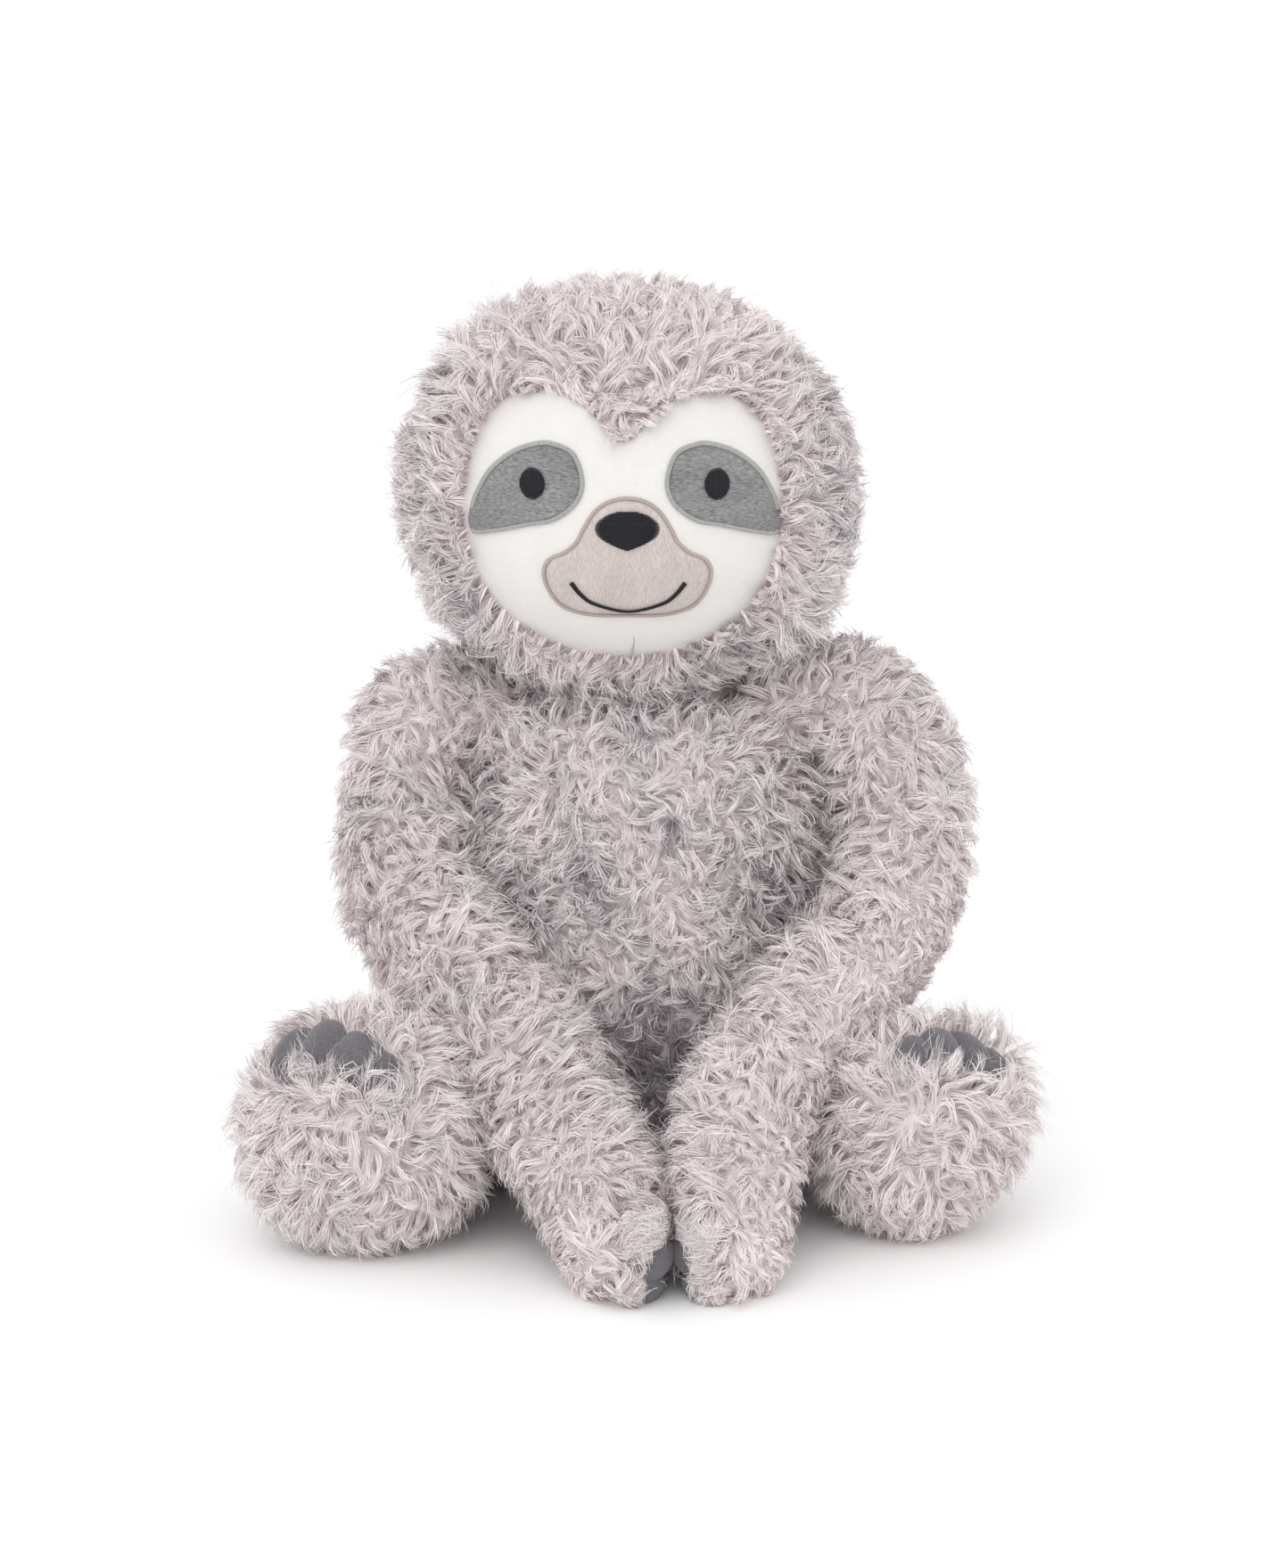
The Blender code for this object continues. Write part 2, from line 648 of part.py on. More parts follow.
def joined_lobes(name, half_width, lobes, parts, cutters):
    """Neighbouring lobes as one piece; each lobe is a place, an outward and an upward direction."""
    made = claw_lobe(name, half_width, *lobes[0], parts)
    for i, lobe in enumerate(lobes[1:]):
        added = claw_lobe("%s_lobe_%d" % (name, i + 1), half_width, *lobe, cutters)
        boolean(made, "UNION", as_cutter(added))
    return made


def build_arm(side, sign, looks, carrier, ground, parts, cutters):
    route = arm_route(side, sign)
    inner = limb_rings(route, PILE_FABRIC, True)
    cover = hollow_loft("arm_cover_" + side, limb_rings(route, 0, True), inner, False, True, parts)
    boolean(cover, "DIFFERENCE", ground)
    dress(cover, looks["fur"], carrier)
    stuffing = solid_loft("arm_stuffing_" + side, limb_rings(route, PILE_FABRIC + STUFFING_GAP, True), parts)
    dress(stuffing, looks["stuffing"], carrier)
    build_hand_claws(side, sign, route[-1], looks, carrier, ground, parts, cutters)


def build_hand_claws(side, sign, tip, looks, carrier, ground, parts, cutters):
    centre = Vector(tip[:3])
    radius = tip[3] + SEAM_GAP
    lobes = []
    for lift in HAND_CLAW_LIFTS:
        level = Vector((-sign * math.sin(HAND_CLAW_INWARD), -math.cos(HAND_CLAW_INWARD), 0))
        outward = level * math.cos(lift) + Vector((0, 0, math.sin(lift)))
        forward = Vector((0, -1, 0))
        lobes.append((centre + outward * radius, outward, forward))
    made = joined_lobes("hand_claws_" + side, HAND_CLAW_HALF_WIDTH, lobes, parts, cutters)
    hand = solid_loft("hand_cut_" + side, limb_rings(arm_route(side, sign), -SEAM_GAP, True), cutters)
    boolean(made, "DIFFERENCE", as_cutter(hand))
    boolean(made, "DIFFERENCE", ground)
    dress(made, looks["dark"], carrier)


def build_leg(side, sign, looks, carrier, ground, parts, cutters):
    route = leg_route(side, sign)
    foot = as_cutter(
        ellipsoid(
            "foot_cut_" + side, foot_centre(side, sign), foot_half(side, SEAM_GAP), FOOT_SEGMENTS, FOOT_RINGS, cutters
        )
    )
    inner = limb_rings(route, PILE_FABRIC, False)
    cover = hollow_loft("leg_cover_" + side, limb_rings(route, 0, False), inner, False, False, parts)
    stuffing = solid_loft("leg_stuffing_" + side, limb_rings(route, PILE_FABRIC + STUFFING_GAP, False), parts)
    for piece, look in ((cover, "fur"), (stuffing, "stuffing")):
        boolean(piece, "DIFFERENCE", foot)
        boolean(piece, "DIFFERENCE", ground)
        dress(piece, looks[look], carrier)
    build_foot(side, sign, foot, looks, carrier, ground, parts, cutters)


def build_foot(side, sign, foot_cut, looks, carrier, ground, parts, cutters):
    centre = foot_centre(side, sign)
    half = foot_half(side)
    cover = hollow_ellipsoid("foot_cover_" + side, centre, half, PILE_FABRIC, FOOT_SEGMENTS, FOOT_RINGS, parts, cutters)
    boolean(cover, "DIFFERENCE", ground)
    boolean(cover, "DIFFERENCE", ankle_cutter(side, centre, cutters))
    dress(cover, looks["fur"], carrier)
    stuffing_half = foot_half(side, -PILE_FABRIC - SEAM_GAP)
    stuffing = ellipsoid("foot_stuffing_" + side, centre, stuffing_half, FOOT_SEGMENTS, FOOT_RINGS, parts)
    dress(stuffing, looks["stuffing"], carrier)
    lobes = []
    for across, up in FOOT_CLAW_SHARES[side]:
        ahead = math.sqrt(1 - across * across - up * up) if across * across + up * up < 1 else 0
        place = Vector((sign * across * half.x, -ahead * half.y, up * half.z))
        outward = Vector((place.x / half.x ** 2, place.y / half.y ** 2, place.z / half.z ** 2))
        lobes.append((centre + place, outward, Vector((0, 0, 1))))
    claws = joined_lobes("foot_claws_" + side, FOOT_CLAW_HALF_WIDTH, lobes, parts, cutters)
    boolean(claws, "DIFFERENCE", foot_cut)
    dress(claws, looks["dark"], carrier)


def ankle_cutter(side, centre, cutters):
    """The hole at the back of a foot, where its cover is open towards the leg."""
    mesh_data = bmesh.new()
    length = FOOT_HALF_DEPTH + CUT_OVERRUN
    bmesh.ops.create_cone(
        mesh_data, cap_ends=True, segments=SOCKET_SIDES, radius1=ANKLE_HOLE_RADIUS, radius2=ANKLE_HOLE_RADIUS,
        depth=length,
    )
    place = Matrix.Translation(centre + Vector((0, length / 2, 0))) @ Matrix.Rotation(math.radians(90), 4, "X")
    bmesh.ops.transform(mesh_data, matrix=place, verts=mesh_data.verts)
    return as_cutter(object_from_bmesh("ankle_hole_" + side, mesh_data, cutters))


def make_looks():
    return {
        "fur": material("mauve_grey_fur", (0.56, 0.49, 0.49), 0.95),
        "stuffing": material("white_fibre_stuffing", (0.85, 0.85, 0.83), 1.0),
        "thread": material("grey_thread", (0.42, 0.38, 0.38), 0.6),
        "white": material("white_short_plush", (0.92, 0.91, 0.89), 0.9),
        "grey": material("grey_short_plush", (0.23, 0.23, 0.235), 0.9),
        "satin": material("pale_satin_stitch", (0.46, 0.47, 0.44), 0.5),
        "taupe": material("taupe_short_plush", (0.54, 0.46, 0.42), 0.9),
        "brown": material("taupe_satin_stitch", (0.42, 0.33, 0.29), 0.5),
        "black": material("black_satin_stitch", (0.012, 0.012, 0.015), 0.45),
        "dark": material("charcoal_short_plush", (0.10, 0.10, 0.115), 0.9),
    }


def main():
    clear_scene()
    parts = new_collection("plush_sloth")
    cutters = new_collection("cutters")
    looks = make_looks()
    ground = ground_cutter(cutters)
    torso = joint_empty("torso_base", Vector((0, 0, 0)), parts)
    build_torso(looks, torso, parts, cutters)
    neck = joint_empty("neck_nod_axis", NECK_CENTRE, parts)
    build_neck_thread(looks, neck, parts)
    head = joint_empty("head_turn_axis", NECK_CENTRE, parts)
    build_head(looks, head, parts, cutters)
    build_eyes(looks, head, parts, cutters)
    build_muzzle(looks, head, parts, cutters)
    for side, sign in SIDES:
        shoulder = joint_empty("shoulder_axis_" + side, Vector((sign * SHOULDER_HALF_SPAN, 0, SHOULDER_HEIGHT)), parts)
        build_arm(side, sign, looks, shoulder, ground, parts, cutters)
        hip = joint_empty("hip_axis_" + side, Vector((sign * HIP_HALF_SPAN, -HIP_FORWARD, HIP_HEIGHT)), parts)
        build_leg(side, sign, looks, hip, ground, parts, cutters)


main()
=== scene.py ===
import math

import bpy
import numpy as np
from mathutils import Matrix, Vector
from mathutils.kdtree import KDTree


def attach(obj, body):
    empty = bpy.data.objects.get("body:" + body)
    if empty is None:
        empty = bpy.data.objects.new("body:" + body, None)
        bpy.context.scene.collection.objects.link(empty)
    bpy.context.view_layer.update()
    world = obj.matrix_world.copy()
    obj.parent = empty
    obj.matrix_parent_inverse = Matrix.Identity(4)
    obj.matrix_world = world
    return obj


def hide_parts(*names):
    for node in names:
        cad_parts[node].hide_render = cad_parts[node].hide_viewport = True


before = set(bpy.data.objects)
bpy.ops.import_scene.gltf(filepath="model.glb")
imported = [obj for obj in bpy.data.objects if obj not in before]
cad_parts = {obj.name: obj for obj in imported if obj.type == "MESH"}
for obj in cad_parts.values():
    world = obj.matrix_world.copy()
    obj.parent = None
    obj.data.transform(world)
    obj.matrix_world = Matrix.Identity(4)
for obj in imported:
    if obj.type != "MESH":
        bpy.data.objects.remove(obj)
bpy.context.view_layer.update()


RNG = np.random.default_rng(20261129)
SIDES = (("left", 1.0), ("right", -1.0))

# The forms stand in the same places as the solids that they replace
GROUND_LIFT = 0.0008
FLOOR_CLEAR = 0.0003
NECK_HEIGHT = 0.138
NECK_RADIUS = 0.034
NECK_BASE_ANGLE = 63
NECK_CROWN_ANGLE = 8
NECK_BASE = NECK_HEIGHT + NECK_RADIUS * math.cos(math.radians(NECK_BASE_ANGLE))
TORSO_HALF = (0.051, 0.047)
TORSO_SIDES = 72
# Rows of height, half width, half depth and how far the middle lies aside, as shares
TORSO_PROFILE = (
    (0.00, 0.80, 0.76, 0.00), (0.04, 0.91, 0.89, 0.00), (0.13, 0.98, 0.97, 0.00), (0.32, 1.00, 1.00, 0.01),
    (0.54, 1.00, 0.97, 0.05), (0.74, 1.01, 0.94, 0.09), (0.86, 0.99, 0.90, 0.08), (0.94, 0.91, 0.84, 0.05),
    (0.985, 0.78, 0.75, 0.02),
)
HEAD_CENTRE = np.array([0.0, -0.004, 0.2205])
HEAD_HALF = np.array([0.066, 0.058, 0.0605])
HEAD_SKIN_INSET = 0.0006
FACE_SHIFT = -0.0015
SHOULDER_ASIDE = 0.0384
SHOULDER_HEIGHT = 0.150
ARM_SPREAD = 0.048
ARM_REACH = 0.125
ARM_DROP = 0.1375
ARM_RADIUS = 0.0175
# Places from the shoulder to the hand as shares: out, ahead, down and thick
ARM_START = ((0.00, 0.0, 0.0, 0.82), (0.09, 0.0, 0.0, 0.82), (0.18, 0.0, 0.0, 0.82))
ARM_ROUTE = {
    "left": (
        (0.375, 0.004, -0.008, 0.85), (0.575, 0.018, -0.030, 0.88), (0.76, 0.046, 0.003, 0.92),
        (0.90, 0.077, 0.080, 0.94), (0.975, 0.100, 0.181, 0.95), (0.99, 0.123, 0.293, 0.95),
        (0.95, 0.170, 0.400, 0.96), (0.755, 0.277, 0.520, 0.97), (0.39, 0.430, 0.628, 0.95),
        (0.05, 0.585, 0.730, 0.89), (-0.09, 0.725, 0.827, 0.87), (-0.135, 0.870, 0.929, 0.82),
        (-0.155, 0.985, 1.000, 0.74),
    ),
    "right": (
        (0.365, 0.008, -0.011, 0.84), (0.515, 0.023, 0.004, 0.88), (0.62, 0.046, 0.053, 0.90),
        (0.665, 0.070, 0.128, 0.90), (0.675, 0.092, 0.226, 0.91), (0.66, 0.130, 0.338, 0.93),
        (0.53, 0.215, 0.451, 0.96), (0.27, 0.354, 0.564, 0.98), (-0.08, 0.523, 0.692, 0.97),
        (-0.40, 0.723, 0.831, 0.92), (-0.61, 0.877, 0.932, 0.84), (-0.69, 1.000, 1.000, 0.74),
    ),
}
HIP_ASIDE = 0.0444
HIP_AHEAD = 0.008
HIP_HEIGHT = 0.026
LEG_RADIUS = 0.020
# Places from the hip to the foot as shares: out, ahead, up and thick
LEG_ROUTE = (
    (0.00, 0.00, 1.00, 1.00), (0.08, 0.00, 1.00, 1.00), (0.30, 0.00, 1.00, 1.00), (0.58, 0.07, 0.85, 0.96),
    (0.84, 0.25, 0.73, 0.92), (0.97, 0.48, 0.84, 0.90), (1.00, 0.80, 1.10, 0.88),
)
FOOT_CENTRE = {"left": np.array([0.0885, -0.063, 0.0310]), "right": np.array([-0.0805, -0.078, 0.0350])}
FOOT_HALF = {"left": np.array([0.0295, 0.027, 0.0315]), "right": np.array([0.0340, 0.027, 0.0355])}


def arm_points(side, sign):
    return np.array([(sign * (SHOULDER_ASIDE + out * ARM_SPREAD), -ahead * ARM_REACH,
                      SHOULDER_HEIGHT - down * ARM_DROP, thick * ARM_RADIUS)
                     for out, ahead, down, thick in ARM_START + ARM_ROUTE[side]])


def leg_points(side, sign):
    spread = FOOT_CENTRE[side][0] * sign - HIP_ASIDE
    reach = -FOOT_CENTRE[side][1] - HIP_AHEAD
    return np.array([(sign * (HIP_ASIDE + out * spread), -HIP_AHEAD - ahead * reach, up * HIP_HEIGHT,
                      thick * LEG_RADIUS) for out, ahead, up, thick in LEG_ROUTE])


# Small helpers for numbers and rows of vectors
def unit(v):
    return v / np.maximum(np.linalg.norm(v, axis=-1, keepdims=True), 1e-12)


def rise(x, start, width):
    """0 up to the start, and 1 from the width past it."""
    return np.clip((x - start) / width, 0, 1)


def fall(x, end, width):
    """1 down from the width before the end, and 0 from the end on."""
    return np.clip((end - x) / width, 0, 1)


def bump(x, middle, width):
    return np.exp(-((x - middle) / width) ** 2)


def columns(x, y, z):
    """Rows of vectors, from columns and single numbers."""
    return np.stack(np.broadcast_arrays(x, y, z), 1)


def value_at(what, places):
    return what(places) if callable(what) else what


def around(count):
    return np.linspace(0, 2 * math.pi, count, endpoint=False)


def spline(a, b, c, d, t):
    """A place on a Catmull-Rom curve between b and c."""
    return 0.5 * (2 * b + (c - a) * t + (2 * a - 5 * b + 4 * c - d) * t * t
                  + (3 * b - a - 3 * c + d) * t ** 3)


def smooth_rows(rows, steps):
    """A smooth curve through rows of numbers, as many columns as there are."""
    rows = np.asarray(rows, float)
    ext = np.vstack([2 * rows[0] - rows[1], rows, 2 * rows[-1] - rows[-2]])
    made = [spline(*ext[i - 1:i + 3], k / steps) for i in range(1, len(ext) - 2) for k in range(steps)]
    return np.array(made + [rows[-1]])


def closed_curve(points, steps=6):
    n = len(points)
    return np.array([spline(*(points[(i + j) % n] for j in (-1, 0, 1, 2)), k / steps)
                     for i in range(n) for k in range(steps)])


# Forms as rings, and meshes from them
def grid_mesh(rings):
    """Vertices and faces of a tube of equal rings, with a centre point in each closed end."""
    rings = np.asarray(rings)
    n, m = rings.shape[:2]
    last = (n - 1) * m
    pairs = [(j, (j + 1) % m) for j in range(m)]
    faces = [(i + j, i + k, i + k + m, i + j + m) for i in range(0, last, m) for j, k in pairs]
    faces += [(k, j, n * m) for j, k in pairs]
    faces += [(last + j, last + k, n * m + 1) for j, k in pairs]
    return np.vstack([rings.reshape(-1, 3), rings[0].mean(0)[None], rings[-1].mean(0)[None]]), faces


def torso_form():
    """Rings of the torso, and a table of height, half width, half depth and how far the middle lies aside."""
    rows = list(np.array(TORSO_PROFILE) * (NECK_BASE, *TORSO_HALF, TORSO_HALF[0]))
    for angle in np.radians(np.linspace(NECK_BASE_ANGLE, NECK_CROWN_ANGLE, 12)):
        r = NECK_RADIUS * math.sin(angle)
        rows.append((NECK_HEIGHT + NECK_RADIUS * math.cos(angle), r, r, 0.0))
    table = smooth_rows(rows, 4)
    turns = around(TORSO_SIDES)
    rings = []
    for z, a, b, aside in table:
        z = min(max(z, GROUND_LIFT), NECK_HEIGHT + NECK_RADIUS)
        rings.append(columns(aside + max(a, 0.002) * np.cos(turns), max(b, 0.002) * np.sin(turns), z))
    return rings, table


def tube_form(rows, round_tip=True, sides=32):
    rows = smooth_rows(rows, 4)
    spine, radii = rows[:, :3], rows[:, 3]
    along = unit(np.gradient(spine, axis=0))
    side = unit(np.cross(along[0], [0.0, 0.0, 1.0]))
    turns = around(sides)
    rings = []
    for i in range(len(spine)):
        side = unit(side - along[i] * (side @ along[i]))
        cross = np.cross(along[i], side)
        circle = np.cos(turns)[:, None] * side + np.sin(turns)[:, None] * cross
        rings.append(spine[i] + radii[i] * circle)
    if round_tip:
        for angle in np.radians((15, 30, 45, 60, 74, 85)):
            centre = spine[-1] + along[-1] * radii[-1] * math.sin(angle)
            rings.append(centre + radii[-1] * math.cos(angle) * circle)
    return rings


def ball_form(centre, half, segments, rings):
    turns = around(segments)
    return [columns(half[0] * math.cos(v) * np.cos(turns), half[1] * math.cos(v) * np.sin(turns),
                    half[2] * math.sin(v)) + centre
            for v in np.linspace(-math.pi / 2 + 0.06, math.pi / 2 - 0.06, rings)]


def face_point(x, z, lift):
    """Where a place on the face lies, on the head's ball, moved out by the lift."""
    half = HEAD_HALF + lift
    q = 1 - ((x - HEAD_CENTRE[0]) / half[0]) ** 2 - ((z - HEAD_CENTRE[2]) / half[2]) ** 2
    y = HEAD_CENTRE[1] - half[1] * np.sqrt(np.maximum(q, 0.0))
    return np.stack([x, y, z], -1)


def link(name, data):
    made = bpy.data.objects.new(name, data)
    bpy.context.scene.collection.objects.link(made)
    return made


def mesh_piece(name, verts, faces, look):
    mesh = bpy.data.meshes.new(name)
    mesh.from_pydata(np.asarray(verts, float).tolist(), [], faces)
    mesh.validate()
    mesh.shade_smooth()
    mesh.materials.append(look)
    return link(name, mesh)


def settle(piece, body, nodes=()):
    """Attach a piece to what it rides on, and hide the solids that it replaces."""
    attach(piece, body)
    if nodes:
        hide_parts(*nodes)


# Materials. A colour that is multiplied by this one stays as it is
UNCHANGED = (1.0, 1.0, 1.0)


def new_look(name):
    look = bpy.data.materials.new(name)
    look.use_nodes = True
    tree = look.node_tree
    return look, tree, tree.nodes["Principled BSDF"]


def node(tree, kind, **sets):
    """A new node with its settings, and with constants in the inputs named with a capital."""
    made = tree.nodes.new(kind)
    for key, value in sets.items():
        if hasattr(made, key):
            setattr(made, key, value)
        else:
            made.inputs[key].default_value = value
    return made


def ramp(tree, factor, stops):
    made = tree.nodes.new("ShaderNodeValToRGB")
    while len(made.color_ramp.elements) < len(stops):
        made.color_ramp.elements.new(0.5)
    for element, (place, colour) in zip(made.color_ramp.elements, stops):
        element.position = place
        element.color = (*colour, 1)
    tree.links.new(factor, made.inputs[0])
    return made.outputs[0]


def multiplied(tree, a, b):
    made = node(tree, "ShaderNodeMix", data_type="RGBA", blend_type="MULTIPLY")
    made.inputs[0].default_value = 1.0
    tree.links.new(a, made.inputs[6])
    tree.links.new(b, made.inputs[7])
    return made.outputs[2]


def noise(tree, place, **sets):
    made = node(tree, "ShaderNodeTexNoise", **sets)
    tree.links.new(place, made.inputs["Vector"])
    return made.outputs["Fac"]


def surface(shader, roughness, specular, sheen):
    shader.inputs["Roughness"].default_value = roughness
    shader.inputs["Specular IOR Level"].default_value = specular
    shader.inputs["Sheen Weight"].default_value = sheen


def raised(tree, shader, height, strength, distance):
    bumped = node(tree, "ShaderNodeBump", Strength=strength, Distance=distance)
    tree.links.new(height, bumped.inputs["Height"])
    tree.links.new(bumped.outputs[0], shader.inputs["Normal"])


def strand_look(name, root, middle, tip, deep, dull, bright):
    """Strands: a little lighter at the root than at the tip, painted light that lifts the shade in the pile,
    each tinted from the strand's own map.
    """
    look, tree, shader = new_look(name)
    uv = node(tree, "ShaderNodeUVMap", uv_map="OFBake")
    split = tree.nodes.new("ShaderNodeSeparateXYZ")
    tree.links.new(uv.outputs["UV"], split.inputs[0])
    along = ramp(tree, split.outputs["Y"], ((0.0, root), (0.45, middle), (1.0, tip)))
    # The low end of this ramp, the deep colour, is a painted shadow: the lap between the forearms is tinted
    # into it, and a few strands elsewhere at random.
    shade = ramp(tree, split.outputs["X"], ((0.035, deep), (0.12, dull), (0.5, UNCHANGED), (1.0, bright)))
    tree.links.new(multiplied(tree, along, shade), shader.inputs["Base Color"])
    surface(shader, 0.78, 0.25, 0.25)
    shader.inputs["Sheen Roughness"].default_value = 0.5
    return look


def cloth_look(name, dark, light, scale, height, stretch=(1, 1, 1), patch=0.0):
    """Short plush or pile backing: two close shades in fine noise, raised a little."""
    look, tree, shader = new_look(name)
    place = tree.nodes.new("ShaderNodeTexCoord")
    sized = node(tree, "ShaderNodeMapping", Scale=stretch)
    tree.links.new(place.outputs["Object"], sized.inputs["Vector"])
    fine = noise(tree, sized.outputs[0], Scale=scale, Detail=5, Roughness=0.65)
    broad = noise(tree, sized.outputs[0], Scale=scale * 0.07, Detail=3)
    tone = ramp(tree, fine, ((0.25, dark), (0.7, light)))
    worn = ramp(tree, broad, ((0.3, (1 - patch,) * 3), (0.65, UNCHANGED)))
    tree.links.new(multiplied(tree, tone, worn), shader.inputs["Base Color"])
    raised(tree, shader, fine, 0.6, height)
    surface(shader, 0.92, 0.2, 0.3)
    return look


def thread_look(name, dark, light, roughness=0.5, specular=0.5, sheen=0.15):
    look, tree, shader = new_look(name)
    place = tree.nodes.new("ShaderNodeTexCoord")
    fine = noise(tree, place.outputs["Object"], Scale=2600.0, Detail=3)
    tone = ramp(tree, fine, ((0.3, dark), (0.7, light)))
    tree.links.new(tone, shader.inputs["Base Color"])
    raised(tree, shader, fine, 0.35, 0.0001)
    surface(shader, roughness, specular, sheen)
    return look


# The roots are lighter than the tips, painted light in the pile. deep is a painted shadow colour; dull and
# bright bound the strands' tints, which are partly random and partly painted shade and light.
FUR = strand_look(
    "mauve_grey_fur", root=(0.91, 0.84, 0.845), middle=(0.87, 0.81, 0.81), tip=(0.86, 0.805, 0.805),
    deep=(0.36, 0.33115, 0.369), dull=(0.90, 0.895, 0.90), bright=(1.07, 1.07, 1.065),
)
# The backing is a little darker than the fur, painted shade for the depth under the pile.
SKIN = cloth_look("fur_backing", (0.80, 0.735, 0.74), (0.87, 0.805, 0.81), 900.0, 0.0008, patch=0.25)
WHITE = cloth_look("white_short_plush", (0.715, 0.695, 0.668), (0.78, 0.765, 0.742), 1500.0, 0.00025,
                   patch=0.03)
GREY = cloth_look("grey_short_plush", (0.085, 0.085, 0.085), (0.375, 0.375, 0.375), 900.0, 0.0004,
                  stretch=(0.6, 1.0, 2.6), patch=0.22)
TAUPE = cloth_look("taupe_short_plush", (0.43, 0.37, 0.34), (0.68, 0.61, 0.58), 900.0, 0.0003,
                   stretch=(2.6, 1.0, 0.6), patch=0.10)
DARK = cloth_look("charcoal_short_plush", (0.095, 0.09, 0.105), (0.20, 0.19, 0.21), 1300.0, 0.0004,
                  patch=0.25)
SATIN = thread_look("pale_satin_thread", (0.34, 0.34, 0.32), (0.52, 0.52, 0.495))
BROWN = thread_look("taupe_satin_thread", (0.42, 0.35, 0.315), (0.56, 0.485, 0.45))
BLACK = thread_look("black_satin_thread", (0.008, 0.008, 0.011), (0.026, 0.026, 0.034), 0.6, 0.3, 0.0)
CORD = thread_look("grey_sewing_thread", (0.34, 0.30, 0.30), (0.48, 0.44, 0.44), 0.6)

# Fur: strands to a square millimetre, on the forms and at the panel's edge, and how wide they are.
# A strand's path is worked out at the fine places and kept in the mesh at the stations
DENSITY, EDGE_DENSITY, THICK = ((2.3, 8.0, 0.00036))
FINE = 16
STATIONS = 6


def ribbons(name, tracks, widths, wide, facing, tints):
    """One mesh of many tapered strands. tracks is strands x stations x 3, wide the direction of each width
    and facing the normal that a strand is shaded with, so that a tuft looks round."""
    count, body = len(tracks), STATIONS - 1
    # Two points at each station, and one at the tip
    station = np.append(np.repeat(np.arange(body), 2), body)
    per = len(station)
    half = widths[:, :body, None] * 0.5 * wide[:, :body]
    verts = tracks[:, station]
    verts[:, 0:-1:2] -= half
    verts[:, 1:-1:2] += half
    verts[..., 2] = np.maximum(verts[..., 2], FLOOR_CLEAR)
    loops = []
    for k in range(body - 1):
        loops += [2 * k, 2 * k + 1, 2 * k + 3, 2 * k + 2]
    loops = np.array(loops + [2 * body - 2, 2 * body - 1, 2 * body])
    index = (np.arange(count)[:, None] * per + loops[None]).ravel()
    totals = np.tile([4] * (body - 1) + [3], count)
    starts = np.concatenate([[0], np.cumsum(totals)[:-1]])
    mesh = bpy.data.meshes.new(name)
    mesh.vertices.add(count * per)
    mesh.vertices.foreach_set("co", verts.astype(np.float32).ravel())
    mesh.loops.add(len(index))
    mesh.loops.foreach_set("vertex_index", index.astype(np.int32))
    mesh.polygons.add(len(starts))
    mesh.polygons.foreach_set("loop_start", starts.astype(np.int32))
    mesh.update(calc_edges=True)
    mesh.shade_smooth()
    share = np.linspace(0, 1, STATIONS)[station][loops]
    across = np.array([-0.012, 0.012] * body + [0.0])[loops]
    uv = np.empty((count, len(loops), 2), np.float32)
    uv[..., 0] = np.clip(tints[:, None], 0.03, 0.97) + across[None]
    uv[..., 1] = 0.02 + 0.96 * share[None]
    mesh.uv_layers.new(name="OFBake").data.foreach_set("uv", uv.ravel())
    shaded = facing[:, station].astype(np.float32)
    mesh.attributes.new("custom_normal", "FLOAT_VECTOR", "POINT").data.foreach_set("vector", shaded.ravel())
    mesh.materials.append(FUR)
    return link(name, mesh)


def scatter(verts, faces, per_mm2):
    """Even random places on a mesh, with their smooth normals."""
    tris = np.array([(f[0], f[k], f[k + 1]) for f in faces for k in range(1, len(f) - 1)])
    a, b, c = verts[tris.T]
    cross = np.cross(b - a, c - a)
    normals = np.zeros_like(verts)
    for corners in tris.T:
        np.add.at(normals, corners, cross)
    areas, normals = np.linalg.norm(cross, axis=1) / 2, unit(normals)
    count = int(areas.sum() * 1e6 * per_mm2)
    t = tris[RNG.choice(len(tris), count, p=areas / areas.sum())]
    u, v = RNG.random(count), RNG.random(count)
    flip = u + v > 1
    u[flip], v[flip] = 1 - u[flip], 1 - v[flip]
    w = np.stack([1 - u - v, u, v], 1)[..., None]
    return (verts[t] * w).sum(1), unit((normals[t] * w).sum(1))


def tree_of(points):
    tree = KDTree(len(points))
    for i, p in enumerate(points):
        tree.insert(p, i)
    tree.balance()
    return tree


def thinned(points, spacing):
    """Which of the points to keep so that no two are nearer than the spacing."""
    tree = tree_of(points)
    dropped = np.zeros(len(points), bool)
    kept = []
    for i, p in enumerate(points):
        if not dropped[i]:
            kept.append(i)
            dropped[[j for _, j, _ in tree.find_range(p, spacing)]] = True
    return np.array(kept)


def nearest(points, seeds):
    tree = tree_of(seeds)
    return np.array([tree.find(p)[1] for p in points])


WAVES = [(unit(RNG.normal(size=3)) * 2 * math.pi / w, RNG.random() * 2 * math.pi) for w in
         (0.055, 0.043, 0.036, 0.030, 0.026, 0.022)]


def field(points, shift=0.0):
    """A smooth random value from about -1 to 1 that changes over two or three centimetres."""
    return sum(np.sin(points @ k + phase + shift * (i + 1)) for i, (k, phase) in enumerate(WAVES)) / 2.4


def turned(vectors, axes, angles):
    """Vectors turned about unit axes by angles, row by row."""
    c, s = np.cos(angles)[:, None], np.sin(angles)[:, None]
    dot = (vectors * axes).sum(1, keepdims=True)
    return vectors * c + np.cross(axes, vectors) * s + axes * dot * (1 - c)


def pushed_out(track, at, room):
    """Strands that would run through a claw lie on it instead, each higher towards its tip."""
    share = np.linspace(0.1, 1, track.shape[1])
    half = at["half"] + room[:, None, None] * share[None, :, None]
    q = ((track - at["place"]) @ at["axes"].T) / half
    far = np.linalg.norm(q, axis=-1, keepdims=True)
    moved = at["place"] + (q / np.maximum(far, 0.05) * half) @ at["axes"]
    return np.where(far < 1, moved, track)


